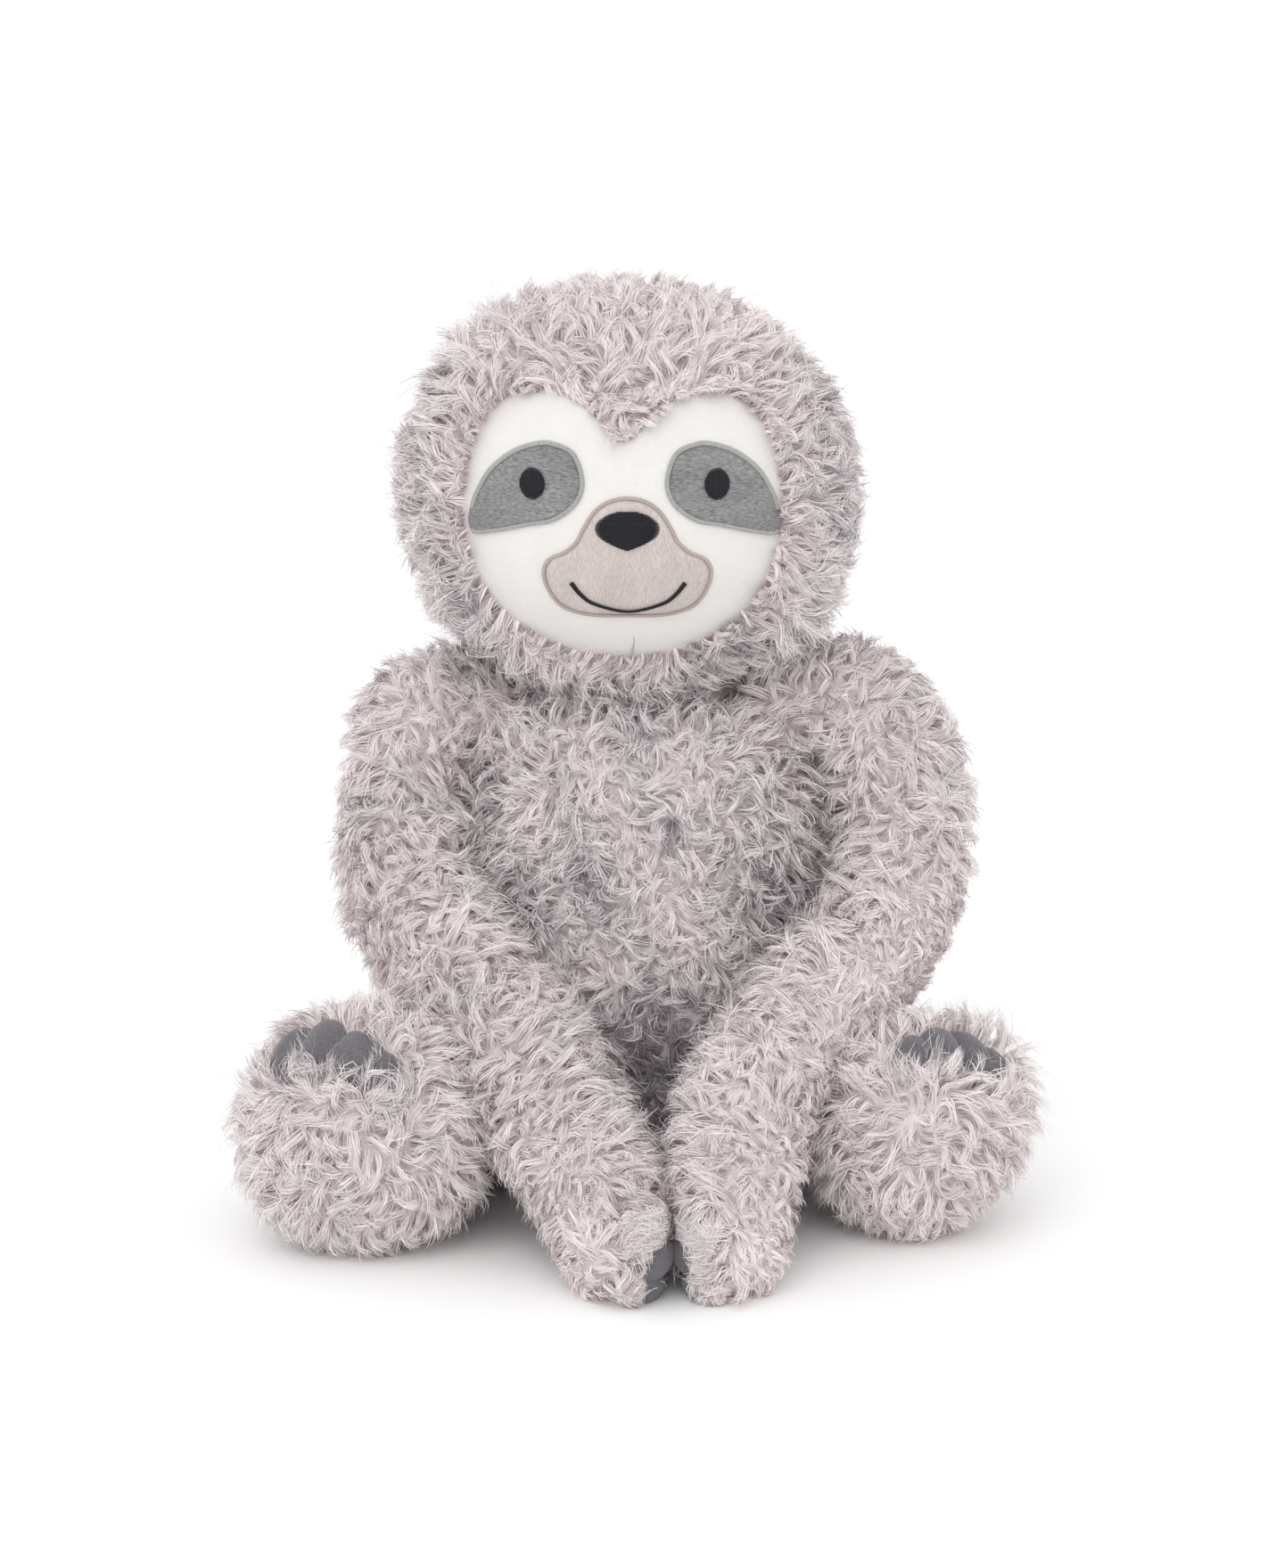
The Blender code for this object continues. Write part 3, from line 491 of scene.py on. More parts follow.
def new_tufts(points, normals, flow, length, stand, chaos, curl, spacing, shade):
    """Where the tufts grow, which way each lies, and how each differs from the others."""
    order = RNG.permutation(len(points))
    seeds = order[thinned(points[order], spacing)]
    place, out = points[seeds], normals[seeds]
    count = len(seeds)
    lie = value_at(flow, place)
    lie = unit(lie - out * (lie * out).sum(1, keepdims=True))
    lie = turned(lie, out, field(place) * chaos[0] + RNG.normal(size=count) * chaos[1])
    return {
        "place": place, "out": out, "lie": lie, "across": np.cross(out, lie),
        "length": value_at(length, place) * RNG.uniform(0.80, 1.18, count),
        "stand": value_at(stand, place) * RNG.uniform(0.65, 1.3, count),
        "curl": RNG.normal(size=count) * curl,
        "wave": RNG.normal(size=count) * curl * 0.9,
        "phase": RNG.uniform(0, 2 * math.pi, count),
        "droop": RNG.uniform(0.2, 1.3, count),
        "shade": value_at(shade, place) + 0.13 * field(place, 1.7) + RNG.normal(size=count) * 0.09,
    }


def strand_tracks(points, normals, own, clump, loose):
    """The way of each strand: its tuft's lie, bend, wave and droop, with a little of its own."""
    count = len(points)
    up = own["stand"] + RNG.normal(size=count) * 0.12 + loose * RNG.uniform(0.1, 0.6, count)
    bend = own["curl"] + RNG.normal(size=count) * np.where(loose, 0.8, 0.25)
    wave = own["wave"] + RNG.normal(size=count) * np.where(loose, 0.9, 0.27)
    droop = own["droop"] + RNG.normal(size=count) * 0.2
    reach = own["length"] * np.clip(RNG.normal(0.93, 0.11, count), 0.55, 1.2) * np.where(loose, 1.25, 1.0)
    s = np.linspace(0, 1, FINE)
    heading = []
    for m in (s[:-1] + s[1:]) / 2:
        swing = bend * (m - 0.15) * 1.6 + wave * np.sin(own["phase"] + 4.6 * m) * (0.3 + 0.7 * m)
        lift = up * (1.25 - 0.85 * m) + 0.30 * (1 - m) - droop * 0.55 * m * m
        lift = lift + 0.55 * wave * np.cos(own["phase"] + 4.6 * m) * m
        heading.append(unit(own["out"] * lift[:, None] + own["lie"] * (0.45 + 0.55 * m)
                            + own["across"] * swing[:, None]))
    steps = np.stack(heading, 1) * (reach[:, None, None] / (FINE - 1))
    path = np.concatenate([np.zeros((count, 1, 3)), np.cumsum(steps, 1)], 1)
    gather = np.where(loose, 0.1, clump)[:, None] * (s ** 0.8 * (1 - 0.22 * s ** 3))[None]
    drawn_in = (points - own["place"])[:, None] * gather[..., None]
    path = points[:, None] + path - drawn_in + normals[:, None] * 0.0001
    return path[:, np.round(np.linspace(0, FINE - 1, STATIONS)).astype(int)]


def split_groups(places, parts):
    """Equal shares of the tufts by their turn about the upright axis through the middle."""
    middle = places.mean(0)
    turn = np.arctan2(places[:, 0] - middle[0], -(places[:, 1] - middle[1]))
    rank = np.argsort(np.argsort(turn))
    return (rank * parts // len(places)).astype(int)


def grow(name, body, points, normals, flow, length, stand, chaos, curl, spacing=0.0034, clump=0.72,
         stray=0.11, shade=0.5, parts=1, over=(), keep_out=None):
    """Fur on a form: strands gather into tufts along the flow, and each tuft has a curl of its own."""
    tufts = new_tufts(points, normals, flow, length, stand, chaos, curl, spacing, shade)
    owner = nearest(points, tufts["place"])
    own = {key: values[owner] for key, values in tufts.items()}
    count = len(points)
    loose = RNG.random(count) < stray
    track = strand_tracks(points, normals, own, clump, loose)
    floor = FLOOR_CLEAR + 0.0004 * RNG.random(count)
    for at in over:
        track = pushed_out(track, at, RNG.uniform(0.0003, 0.0034, count))
    track[..., 2] = np.maximum(track[..., 2], floor[:, None])

    # The ribbons' widths go round their tuft, and so do the normals that they are shaded with
    along = unit(np.gradient(track, axis=1))
    spin = RNG.normal(size=(count, 1)) * 0.35
    outward = np.repeat(own["out"][:, None], STATIONS, 1)
    round_off = (points - own["place"])[:, None] / (spacing * 0.55)
    wide = unit(np.cross(along, outward + 1.2 * round_off))
    front = np.cross(wide, along)
    facing = unit(0.6 * front + 0.45 * outward + 0.5 * round_off + 0.12 * RNG.normal(size=(count, 1, 3)))
    wide = wide * np.cos(spin)[..., None] + np.cross(along, wide) * np.sin(spin)[..., None]
    slim = np.where(loose, 0.75, 1.0)[:, None] * RNG.uniform(0.65, 1.3, count)[:, None]
    widths = THICK * slim * (1 - 0.72 * np.linspace(0, 1, STATIONS)[None] ** 1.8)
    tint = np.clip(own["shade"] + RNG.normal(size=count) * 0.13 + loose * 0.12, 0.03, 0.97)

    groups = split_groups(tufts["place"], parts)[owner]
    if keep_out:
        # These strands go into none of the pieces
        groups[keep_out(track)] = parts
    for g in range(parts):
        pick = groups == g
        piece = ribbons("%s_%d" % (name, g + 1) if parts > 1 else name, track[pick], widths[pick], wide[pick],
                        facing[pick], tint[pick])
        settle(piece, body)


# What lies inside what
torso_rings, torso_table = torso_form()
arms = {side: arm_points(side, sign) for side, sign in SIDES}
legs = {side: leg_points(side, sign) for side, sign in SIDES}
# Fur still grows this deep inside a neighbour
SUNK = 0.0005


def in_ball(points, centre, half):
    return (((points - centre) / (half - SUNK)) ** 2).sum(1) < 1


def in_torso(points):
    a, b, aside = (np.interp(points[:, 2], torso_table[:, 0], torso_table[:, k]) for k in (1, 2, 3))
    return ((points[:, 0] - aside) / (a - SUNK)) ** 2 + (points[:, 1] / (b - SUNK)) ** 2 < 1


def stretches(points, rows):
    """For each stretch of a limb: the nearest places, heading, share along, thickness and squared gaps."""
    for p, q in zip(rows, rows[1:]):
        d = q[:3] - p[:3]
        t = np.clip(((points - p[:3]) @ d) / (d @ d), 0, 1)
        near = p[:3] + t[:, None] * d
        yield near, unit(d), t, p[3] + t * (q[3] - p[3]), ((points - near) ** 2).sum(1)


def in_tube(points, rows):
    inside = np.zeros(len(points), bool)
    for _, _, _, thick, gap in stretches(points, smooth_rows(rows, 2)):
        inside |= gap < (thick - SUNK) ** 2
    return inside


def outside(points, own):
    """True where a place lies in no other stuffed form than its own."""
    hits = {"head": in_ball(points, HEAD_CENTRE, HEAD_HALF), "torso": in_torso(points)}
    for side, _ in SIDES:
        hits["arm_" + side] = in_tube(points, arms[side])
        hits["leg_" + side] = in_tube(points, legs[side])
        hits["foot_" + side] = in_ball(points, FOOT_CENTRE[side], FOOT_HALF[side])
    del hits[own]
    return ~np.any(list(hits.values()), axis=0)


def clear_places(verts, faces, per_mm2, own):
    points, normals = scatter(verts, faces, per_mm2)
    keep = outside(points, own)
    return points[keep], normals[keep]


def nearest_on(points, rows):
    """The nearest place on a limb's middle line, its direction and how far along it is."""
    rows = smooth_rows(rows, 3)
    best = np.full(len(points), 1e9)
    place, along, share = np.zeros_like(points), np.zeros_like(points), np.zeros(len(points))
    for i, (near, heading, t, _, gap) in enumerate(stretches(points, rows)):
        nearer = gap < best
        best[nearer], place[nearer], along[nearer] = gap[nearer], near[nearer], heading
        share[nearer] = (i + t[nearer]) / (len(rows) - 1)
    return place, along, share


def skin(part, tail, rings, body):
    """A stuffed skin, which stands for the part's cover and stuffing."""
    verts, faces = grid_mesh(np.maximum(rings, (-math.inf, -math.inf, GROUND_LIFT)))
    nodes = (part + "_cover" + tail, part + "_stuffing" + tail)
    settle(mesh_piece(part + "_skin" + tail, verts, faces, SKIN), body, nodes)
    return verts, faces


# Torso
def torso_flow(p):
    up = rise(p[:, 2], 0.132, 0.016)
    return columns(0.25 * p[:, 0] / 0.05 * (1 + up), -0.15, -1.0 + 1.9 * up)


def armpit(p):
    """Near one where the torso faces an arm that stands off it."""
    return rise(np.abs(p[:, 0]), 0.036, 0.01) * rise(p[:, 2], 0.062, 0.015)


def torso_painted_shade(p):
    """Painted shade: the torso's strands are duller than elsewhere, for the shade of the head and arms, and
    darkest low between the forearms, for the shadow there.
    """
    lap_painted_shadow = bump(p[:, 0], 0.012, 0.022) * fall(p[:, 2], 0.068, 0.014) * (p[:, 1] < 0)
    return 0.29 - 0.45 * lap_painted_shadow


verts, faces = skin("torso", "", torso_rings, "torso")
points, normals = scatter(verts, faces, DENSITY)
under = (points[:, 2] < GROUND_LIFT + 1e-5) & (RNG.random(len(points)) < 0.8)
keep = outside(points, "torso") & ~under
grow("torso_fur", "torso", points[keep], normals[keep], torso_flow, lambda p: 0.0095 + 0.0035 * armpit(p),
     lambda p: 0.75 + 0.6 * armpit(p), (1.2, 1.0), 1.15, spacing=0.0029, parts=6, shade=torso_painted_shade)

# The face panel's outline: two brow lobes over a round lower edge, as shares of its half sizes
PANEL_HALF = (0.0481, 0.0446)
PANEL_OUTLINE = (
    (0.00, 0.53), (0.15, 0.66), (0.31, 0.78), (0.53, 0.825), (0.75, 0.755), (0.905, 0.545),
    (0.98, 0.26), (1.00, -0.04), (0.945, -0.35), (0.82, -0.615), (0.59, -0.83), (0.32, -0.955), (0.00, -1.00),
)


def mirror_outline(half, size):
    right = np.array(half) * size
    return np.vstack([right, right[-2:0:-1] * (-1, 1)])


def signed_area(outline):
    before = np.roll(outline, 1, 0)
    return (before[:, 0] * outline[:, 1] - outline[:, 0] * before[:, 1]).sum()


def widen(outline, width):
    along = unit(np.roll(outline, -1, 0) - np.roll(outline, 1, 0))
    turn = 1 if signed_area(outline) > 0 else -1
    return outline + np.stack([along[:, 1], -along[:, 0]], 1) * width * turn


def inside_outline(x, z, outline):
    inside = np.zeros(len(x), bool)
    for (x1, z1), (x2, z2) in zip(outline, np.roll(outline, -1, 0)):
        cross = (z1 > z) != (z2 > z)
        with np.errstate(divide="ignore", invalid="ignore"):
            at = x1 + (z - z1) * (x2 - x1) / (z2 - z1)
        inside ^= cross & (x < at)
    return inside


panel = closed_curve(mirror_outline(PANEL_OUTLINE, PANEL_HALF))
# The toy's right half of the panel, and its lower half, are a little larger
panel = panel * np.where(panel < 0, (1.028, 1.022), (1.0, 1.0))


# Head
def edge_distance(p):
    """How far a place on the head lies from the face panel's edge, seen from the front."""
    flat = np.stack([p[:, 0] - FACE_SHIFT, p[:, 2] - HEAD_CENTRE[2]], 1)
    gaps = np.sqrt(((flat[:, None] - panel[None, ::2]) ** 2).sum(2)).min(1)
    return np.where(p[:, 1] < HEAD_CENTRE[1], gaps, 1.0)


def head_flow(p):
    """Away from the face, turned along its edge, and down over the peak between the brows."""
    q = p - HEAD_CENTRE
    aside = q[:, 0] - FACE_SHIFT
    away = unit(columns(aside, 0.004, q[:, 2] + 0.004))
    away[:, 2] -= 0.25
    edge = bump(edge_distance(p), 0, 0.0045)[:, None]
    swirl = columns(-away[:, 2], 0.0, away[:, 0]) * np.sign(field(p, 0.6))[:, None]
    flow = away * (1 - 1.45 * edge) + swirl * edge * 0.9
    peak = bump(aside, 0, 0.013) * np.exp(-np.clip((q[:, 2] - 0.030) / 0.012, 0, 9) ** 2)
    peak *= (q[:, 1] < 0) & (q[:, 2] > 0.012)
    return flow * (1 - peak)[:, None] + columns(-aside * 25, 0.0, -1.0) * (peak * 1.6)[:, None]


def head_stand(p):
    crown = rise(unit(p - HEAD_CENTRE)[:, 2], 0.35, 0.4)
    return 0.95 + 0.45 * crown + 0.5 * bump(edge_distance(p), 0, 0.004)


def head_length(p):
    """Short at the panel's edge, longer at the tuft on the toy's right, on that side and on the cheeks."""
    edge = bump(edge_distance(p), 0, 0.004)
    tuft = np.exp(-((p[:, 0] + 0.042) / 0.017) ** 2 - ((p[:, 2] - 0.267) / 0.014) ** 2)
    side = fall(p[:, 0], -0.040, 0.012) * rise(p[:, 2], 0.205, 0.015)
    cheek = np.exp(-((np.abs(p[:, 0]) - 0.050) / 0.014) ** 2 - ((p[:, 2] - 0.188) / 0.012) ** 2)
    cheek = cheek * np.where(p[:, 0] > 0, 0.0070, 0.0030)
    return 0.0108 - 0.0028 * edge + 0.0055 * tuft + 0.0020 * side + cheek


# Painted light: strands lighter towards the top of the head and duller on its sides, for how the light falls
# on it.
def head_painted_light(p):
    q = unit(p - HEAD_CENTRE)
    return 0.5 + 0.22 * np.clip(q[:, 2], 0, 1) - 0.22 * np.abs(q[:, 0]) * (q[:, 2] < 0.6)


verts, faces = skin("head", "", ball_form(HEAD_CENTRE, HEAD_HALF - HEAD_SKIN_INSET, 56, 36), "head")
points, normals = clear_places(verts, faces, DENSITY, "head")
covered = inside_outline(points[:, 0] - FACE_SHIFT, points[:, 2] - HEAD_CENTRE[2], widen(panel, -0.0007))
bare = ~(covered & (points[:, 1] < HEAD_CENTRE[1]))
grow("head_fur", "head", points[bare], normals[bare], head_flow, head_length, head_stand, (1.05, 0.8), 1.15,
     clump=0.64, parts=5, shade=head_painted_light)

# A thick row of short fur hides the seam round the face panel
points, normals = clear_places(verts, faces, EDGE_DENSITY, "head")
band = edge_distance(points) < 0.0013
grow("face_edge_fur", "head", points[band], normals[band], head_flow, 0.0072, 1.3, (0.9, 1.1), 1.0,
     spacing=0.0021, clump=0.4)

# Claws: places across and up a foot as shares, and lifts in degrees round a hand, of padded lobes
FOOT_CLAWS = {
    "left": ((-0.10, 0.80), (0.19, 0.86), (0.47, 0.80), (0.71, 0.62)),
    "right": ((-0.22, 0.60), (0.04, 0.76), (0.31, 0.83), (0.57, 0.74)),
}
FOOT_CLAW_HALF = (0.0064, 0.0060, 0.0094)
HAND_CLAW_LIFTS = (-37, 2, 41)
HAND_CLAW_TURN = math.radians(58)
HAND_CLAW_HALF = (0.0066, 0.0056, 0.0096)
# How far up the fur covers each foot claw, from -1 at its lower end to 1 at its top
FOOT_COVER = {"left": np.array([0.45, 0.20, 0.20, 0.45]), "right": np.array([0.65, 0.25, 0.08, 0.30])}
# The hands' claws meet here, and this much of each shows between the fur
CLAW_MEETING = 0.0128
CLAW_SHOWN = {"left": 0.0064, "right": 0.0084}
# A strand's tip hides a claw when the place this far behind it lies in the claw
BEHIND = np.array([0.0, 0.007, -0.002])


def lobe_at(place, outward, upward, half):
    outward = unit(outward)
    long_way = unit(upward - outward * (outward @ upward))
    axes = np.array([np.cross(long_way, outward), outward, long_way])
    return {"place": place, "axes": axes, "half": np.array(half)}


def foot_lobes(side, sign):
    made = []
    for across, up in FOOT_CLAWS[side]:
        ahead = math.sqrt(max(1 - across ** 2 - up ** 2, 0))
        place = np.array([sign * across, -ahead, up]) * FOOT_HALF[side]
        outward = unit(place / FOOT_HALF[side] ** 2)
        place = FOOT_CENTRE[side] + place + outward * 0.0012
        made.append(lobe_at(place, outward, (0, 0, 1.0), FOOT_CLAW_HALF))
    return made


def hand_lobes(side, sign):
    tip = arms[side][-1]
    made = []
    for lift in np.radians(HAND_CLAW_LIFTS):
        outward = np.array([-sign * math.sin(HAND_CLAW_TURN) * math.cos(lift),
                            -math.cos(HAND_CLAW_TURN) * math.cos(lift), math.sin(lift)])
        made.append(lobe_at(tip[:3] + outward * (tip[3] + 0.0006), outward, (0, -1.0, 0), HAND_CLAW_HALF))
    return made


foot_claws = {side: foot_lobes(side, sign) for side, sign in SIDES}
hand_claws = {side: hand_lobes(side, sign) for side, sign in SIDES}
foot_claw_middles = {side: np.array([at["place"] for at in foot_claws[side]]) for side, _ in SIDES}


def nearest_claw(points, side):
    """The middle and the number of the nearest foot claw, and the gap to that middle."""
    middles = foot_claw_middles[side]
    gaps = np.sqrt(((points[:, None] - middles[None]) ** 2).sum(2))
    which = gaps.argmin(1)
    return middles[which], which, gaps.min(1)


def in_lobes(points, lobes, swell):
    hit = np.zeros(points.shape[:-1], bool)
    for at in lobes:
        q = ((points - at["place"]) @ at["axes"].T) / (at["half"] + swell)
        hit |= (q ** 2).sum(-1) < 1
    return hit


def lobe_mesh(lobes, segments=24, rings=16):
    turns = around(segments)
    verts, faces, base = [], [], 0
    for at in lobes:
        made = []
        for v in np.linspace(-math.pi / 2 + 0.05, math.pi / 2 - 0.05, rings):
            flat = columns(np.cos(turns) * math.cos(v), np.sin(turns) * math.cos(v), math.sin(v))
            made.append(at["place"] + (flat * at["half"]) @ at["axes"])
        lobe_verts, lobe_faces = grid_mesh(made)
        verts.append(lobe_verts)
        faces += [tuple(i + base for i in f) for f in lobe_faces]
        base += len(lobe_verts)
    return np.vstack(verts), faces


def bare_width(side, z):
    return CLAW_SHOWN[side] * fall(z, 0.0245, 0.014)


# Arms
def over_hand_claws(track, side, sign):
    """Strands that would hide the part of a claw that shows."""
    tip, claws = track[:, -1], hand_claws[side]
    bare = bare_width(side, tip[:, 2]) - 0.0012 + 0.0012 * field(tip * 2.5)
    shown = sign * (tip[:, 0] - CLAW_MEETING) < bare
    return shown & (in_lobes(track, claws, 0.0016).any(1) | in_lobes(tip + BEHIND, claws, 0.0))


def dress_arm(side, sign):
    arm, rows, claws = "arm_" + side, arms[side], hand_claws[side]

    def flow(p):
        _, along, share = nearest_on(p, rows)
        lower = rise(share, 0.45, 0.2)[:, None]
        return along * (1 - 0.55 * lower) + np.array([-sign, -0.1, 0.1]) * (0.8 * lower)

    def length(p):
        """Trimmed where the outline of the arm is tight, raised on top of the shoulder."""
        place, _, share = nearest_on(p, rows)
        outer = rise(sign * (p[:, 0] - place[:, 0]), 0, 0.008)
        above = rise(p[:, 2] - place[:, 2], 0, 0.012)
        if side == "left":
            trim = bump(share, 0.68, 0.12) * 0.0078
            top = 0.0080 * bump(share, 0, 0.12) * above * (1 - 0.5 * outer)
        else:
            trim = bump(share, 0, 0.17) * 0.0055
            top = 0.0050 * bump(share, 0, 0.12) * above * (1 - outer)
        trim = (trim + 0.0050 * rise(share, 0.78, 0.12)) * outer
        return 0.0108 + 0.0016 * rise(share, 0.4, 0.2) - 0.0022 * rise(share, 0.9, 0.1) - trim + top

    def stand(p):
        place, _, share = nearest_on(p, rows)
        inner = rise(-sign * (p[:, 0] - place[:, 0]), 0, 0.012) * (share < 0.55)
        above = rise(p[:, 2] - place[:, 2], 0, 0.012) * bump(share, 0, 0.12)
        return 0.78 + 0.6 * np.maximum(inner, above)

    # Painted light: the lower arm's strands are lighter, much more on the toy's left, for the light that
    # falls on the forearms.
    def shade(p):
        return 0.5 + (0.25 if side == "left" else 0.04) * rise(nearest_on(p, rows)[2], 0.5, 0.2)

    def hides_claws(track):
        return in_lobes(track[:, 0], claws, 0.0) | over_hand_claws(track, side, sign)

    verts, faces = skin("arm", "_" + side, tube_form(rows), arm)
    points, normals = clear_places(verts, faces, DENSITY * 1.05, arm)
    grow("arm_fur_" + side, arm, points, normals, flow, length, stand, (0.9, 0.75), 1.1,
         spacing=0.0031, parts=3, shade=shade, keep_out=hides_claws, over=claws)


# Legs and feet
def dress_leg(side):
    def flow(p):
        return nearest_on(p, legs[side])[1] + np.array([0.0, 0.0, -0.5])

    leg = "leg_" + side
    verts, faces = skin("leg", "_" + side, tube_form(legs[side], round_tip=False), leg)
    points, normals = clear_places(verts, faces, DENSITY, leg)
    grow("leg_fur_" + side, leg, points, normals, flow, 0.0108, 0.75, (0.9, 0.7), 0.8)


def dress_foot(side):
    centre, half, claws = FOOT_CENTRE[side], FOOT_HALF[side], foot_claws[side]

    def claw_side(p):
        """How near a place is to the claws, and whether it lies below them."""
        middle, _, gap = nearest_claw(p, side)
        return bump(np.maximum(gap - 0.006, 0), 0, 0.006), p[:, 2] < middle[:, 2] - 0.001

    def shares(p):
        """How far out and how far up a place lies, as shares of the foot's half sizes."""
        return (np.abs(p[:, 0]) - abs(centre[0])) / half[0], (p[:, 2] - centre[2]) / half[2]

    def flow(p):
        q = unit(p - centre)
        near, below = claw_side(p)
        upward, behind = np.array([0.0, -0.3, 1.0]), columns(q[:, 0] * 0.4, 1.0, 0.3)
        return (columns(q[:, 0], 0.25, q[:, 2] - 0.55) * (1 - near)[:, None]
                + np.where(below[:, None], upward, behind) * near[:, None] * 1.3)

    def length(p):
        near, below = claw_side(p)
        out, up = shares(p)
        outer = rise(out, 0.2, 0.4) * (side == "left")
        under = fall(up, -0.45, 0.4)
        reach = 0.0112 - 0.0012 * near * below - 0.0040 * under + 0.0045 * outer * rise(up, 0, 0.5)
        return np.maximum(reach - 0.0062 * outer * fall(up, -0.05, 0.4), 0.0040)

    def stand(p):
        near, below = claw_side(p)
        out, up = shares(p)
        return 0.80 + 0.7 * near * ~below + 0.5 * rise(out, 0, 0.5) * rise(up, 0, 0.5) * (side == "left")

    def hides_claws(track):
        """Strands that start in a claw, or that would hide its upper part."""
        root, tip = track[:, 0], track[:, -1]
        middle, which, _ = nearest_claw(root, side)
        cover = FOOT_CLAW_HALF[2] * FOOT_COVER[side][which]
        high = tip[:, 2] > middle[:, 2] + cover + 0.0016 * field(tip * 2.5)
        behind = root[:, 2] > middle[:, 2] - 0.001
        touching = in_lobes(track, claws, 0.0004).any(1)
        hidden = high & (in_lobes(tip + BEHIND, claws, 0.0) | touching)
        return in_lobes(root, claws, 0.0) | (behind & touching) | hidden

    verts, faces = skin("foot", "_" + side, ball_form(centre, half, 40, 28), "leg_" + side)
    points, normals = clear_places(verts, faces, DENSITY, "foot_" + side)
    # Painted light: the toy's left foot gets lighter strands than its right, for how the light falls on the
    # feet.
    grow("foot_fur_" + side, "leg_" + side, points, normals, flow, length, stand, (0.9, 0.8), 1.1,
         spacing=0.0031, parts=2, shade=0.62 if side == "left" else 0.52, keep_out=hides_claws, over=claws)


# Wisps that lie over the lower part of the foot claws and over the outer part of the hand claws
def lay_foot_wisps(side):
    points, normals = scatter(*lobe_mesh(foot_claws[side]), DENSITY * 2.6)
    middle, which, _ = nearest_claw(points, side)
    up = (points[:, 2] - middle[:, 2]) / FOOT_CLAW_HALF[2] + 0.2 * field(points * 2.5)
    low = (up < FOOT_COVER[side][which] - 0.70) & (points[:, 1] < middle[:, 1] + 0.004)
    grow("foot_wisps_" + side, "leg_" + side, points[low], normals[low], np.array([0.0, -0.2, 1.0]),
         0.0068, 0.9, (0.7, 0.7), 1.0, spacing=0.0024, stray=0.15, over=foot_claws[side])


def lay_hand_wisps(side, sign):
    points, normals = scatter(*lobe_mesh(hand_claws[side]), DENSITY * 2)
    bare = bare_width(side, points[:, 2]) + 0.0014 * field(points * 2.5)
    outer = (sign * (points[:, 0] - CLAW_MEETING) > bare) & (points[:, 2] > FLOOR_CLEAR)
    flow = np.array([-sign * 0.6, 0.0, -1.0])
    grow("hand_wisps_" + side, "arm_" + side, points[outer], normals[outer], flow, 0.0078, 0.9,
         (0.7, 0.7), 0.9, spacing=0.0030, stray=0.2, over=hand_claws[side],
         keep_out=lambda track: over_hand_claws(track, side, sign))


def sew_claws(side):
    for end, lobes, body in (("foot", foot_claws, "leg_"), ("hand", hand_claws, "arm_")):
        verts, faces = lobe_mesh(lobes[side])
        verts[:, 2] = np.maximum(verts[:, 2], FLOOR_CLEAR)
        pads = mesh_piece(end + "_claw_pads_" + side, verts, faces, DARK)
        settle(pads, body + side, (end + "_claws_" + side,))


for side, sign in SIDES:
    dress_arm(side, sign)
    dress_leg(side)
    dress_foot(side)
    lay_foot_wisps(side)
    lay_hand_wisps(side, sign)
    sew_claws(side)


# Face: depths over the head's skin of the panel's hidden rim, of the cloth and of the thread on the cloth
RIM_LOW = -0.0012
CLOTH_LOW = 0.0004
CLOTH_TOP = 0.0014
THREAD_LOW = 0.0017


def sheet_piece(name, outline, low, high, puff, look, nodes, rings):
    """A puffed closed sheet on the head: outline in face coordinates, its edge tucked to the low depth."""
    middle = outline.mean(0)
    fronts, backs = [], []
    for t in np.linspace(0.02, 1, rings):
        flat = middle + (outline - middle) * t
        x, z = flat[:, 0] + FACE_SHIFT, flat[:, 1] + HEAD_CENTRE[2]
        lift = low + (high - low) * (1 - t ** 24) + puff * (1 - t ** 5)
        fronts.append(face_point(x, z, lift))
        backs.append(face_point(x, z, low - 0.0003))
    verts, faces = grid_mesh(fronts + backs[::-1])
    if signed_area(outline) < 0:
        faces = [tuple(reversed(f)) for f in faces]
    settle(mesh_piece(name, verts, faces, look), "head", nodes)


def stitches(name, centres, across, widths, height, pitch, low, look, slot, nodes, stations=7, sides=5):
    """Satin stitches: one rounded bar of thread beside the next, lying on the face."""
    verts, faces = [], []
    turns = np.linspace(0, math.pi, sides)
    for c, a, w in zip(centres, across, np.broadcast_to(widths, len(centres))):
        along = np.array([-a[1], a[0]])
        base = len(verts)
        jitter = RNG.normal() * 0.05
        for s in np.linspace(-1, 1, stations):
            swell = math.sqrt(max(1 - abs(s) ** 3, 0.0))
            for t in turns:
                shift = math.cos(t) * pitch * 0.60 * (0.35 + 0.65 * swell) + jitter * pitch
                x, z = c + a * (s * w / 2) + along * shift
                tucked = 0 if 0 < t < math.pi - 1e-6 else 0.0002
                lift = low + (height * swell) * (0.55 + 0.45 * math.sin(t)) - tucked
                verts.append(face_point(x + FACE_SHIFT, z + HEAD_CENTRE[2], lift))
        faces += [(p, p + 1, p + 1 + sides, p + sides)
                  for p in range(base, base + (stations - 1) * sides) if (p - base + 1) % sides]
    settle(mesh_piece(name, verts, faces, look), "head", nodes)


def even_path(outline, pitch, closed=True):
    """Places at an even spacing along a line, the direction across it and how far along each lies."""
    line = np.vstack([outline, outline[:1]]) if closed else outline
    run = np.concatenate([[0], np.cumsum(np.linalg.norm(np.diff(line, axis=0), axis=1))])
    count = max(int(run[-1] / pitch), 3)
    at = (np.arange(count) + 0.5) * run[-1] / count

    def place(far):
        far = far % run[-1] if closed else np.clip(far, 0, run[-1])
        return np.stack([np.interp(far, run, line[:, k]) for k in (0, 1)], 1)

    along = unit(place(at + pitch) - place(at - pitch))
    return place(at), np.stack([-along[:, 1], along[:, 0]], 1), at / run[-1]


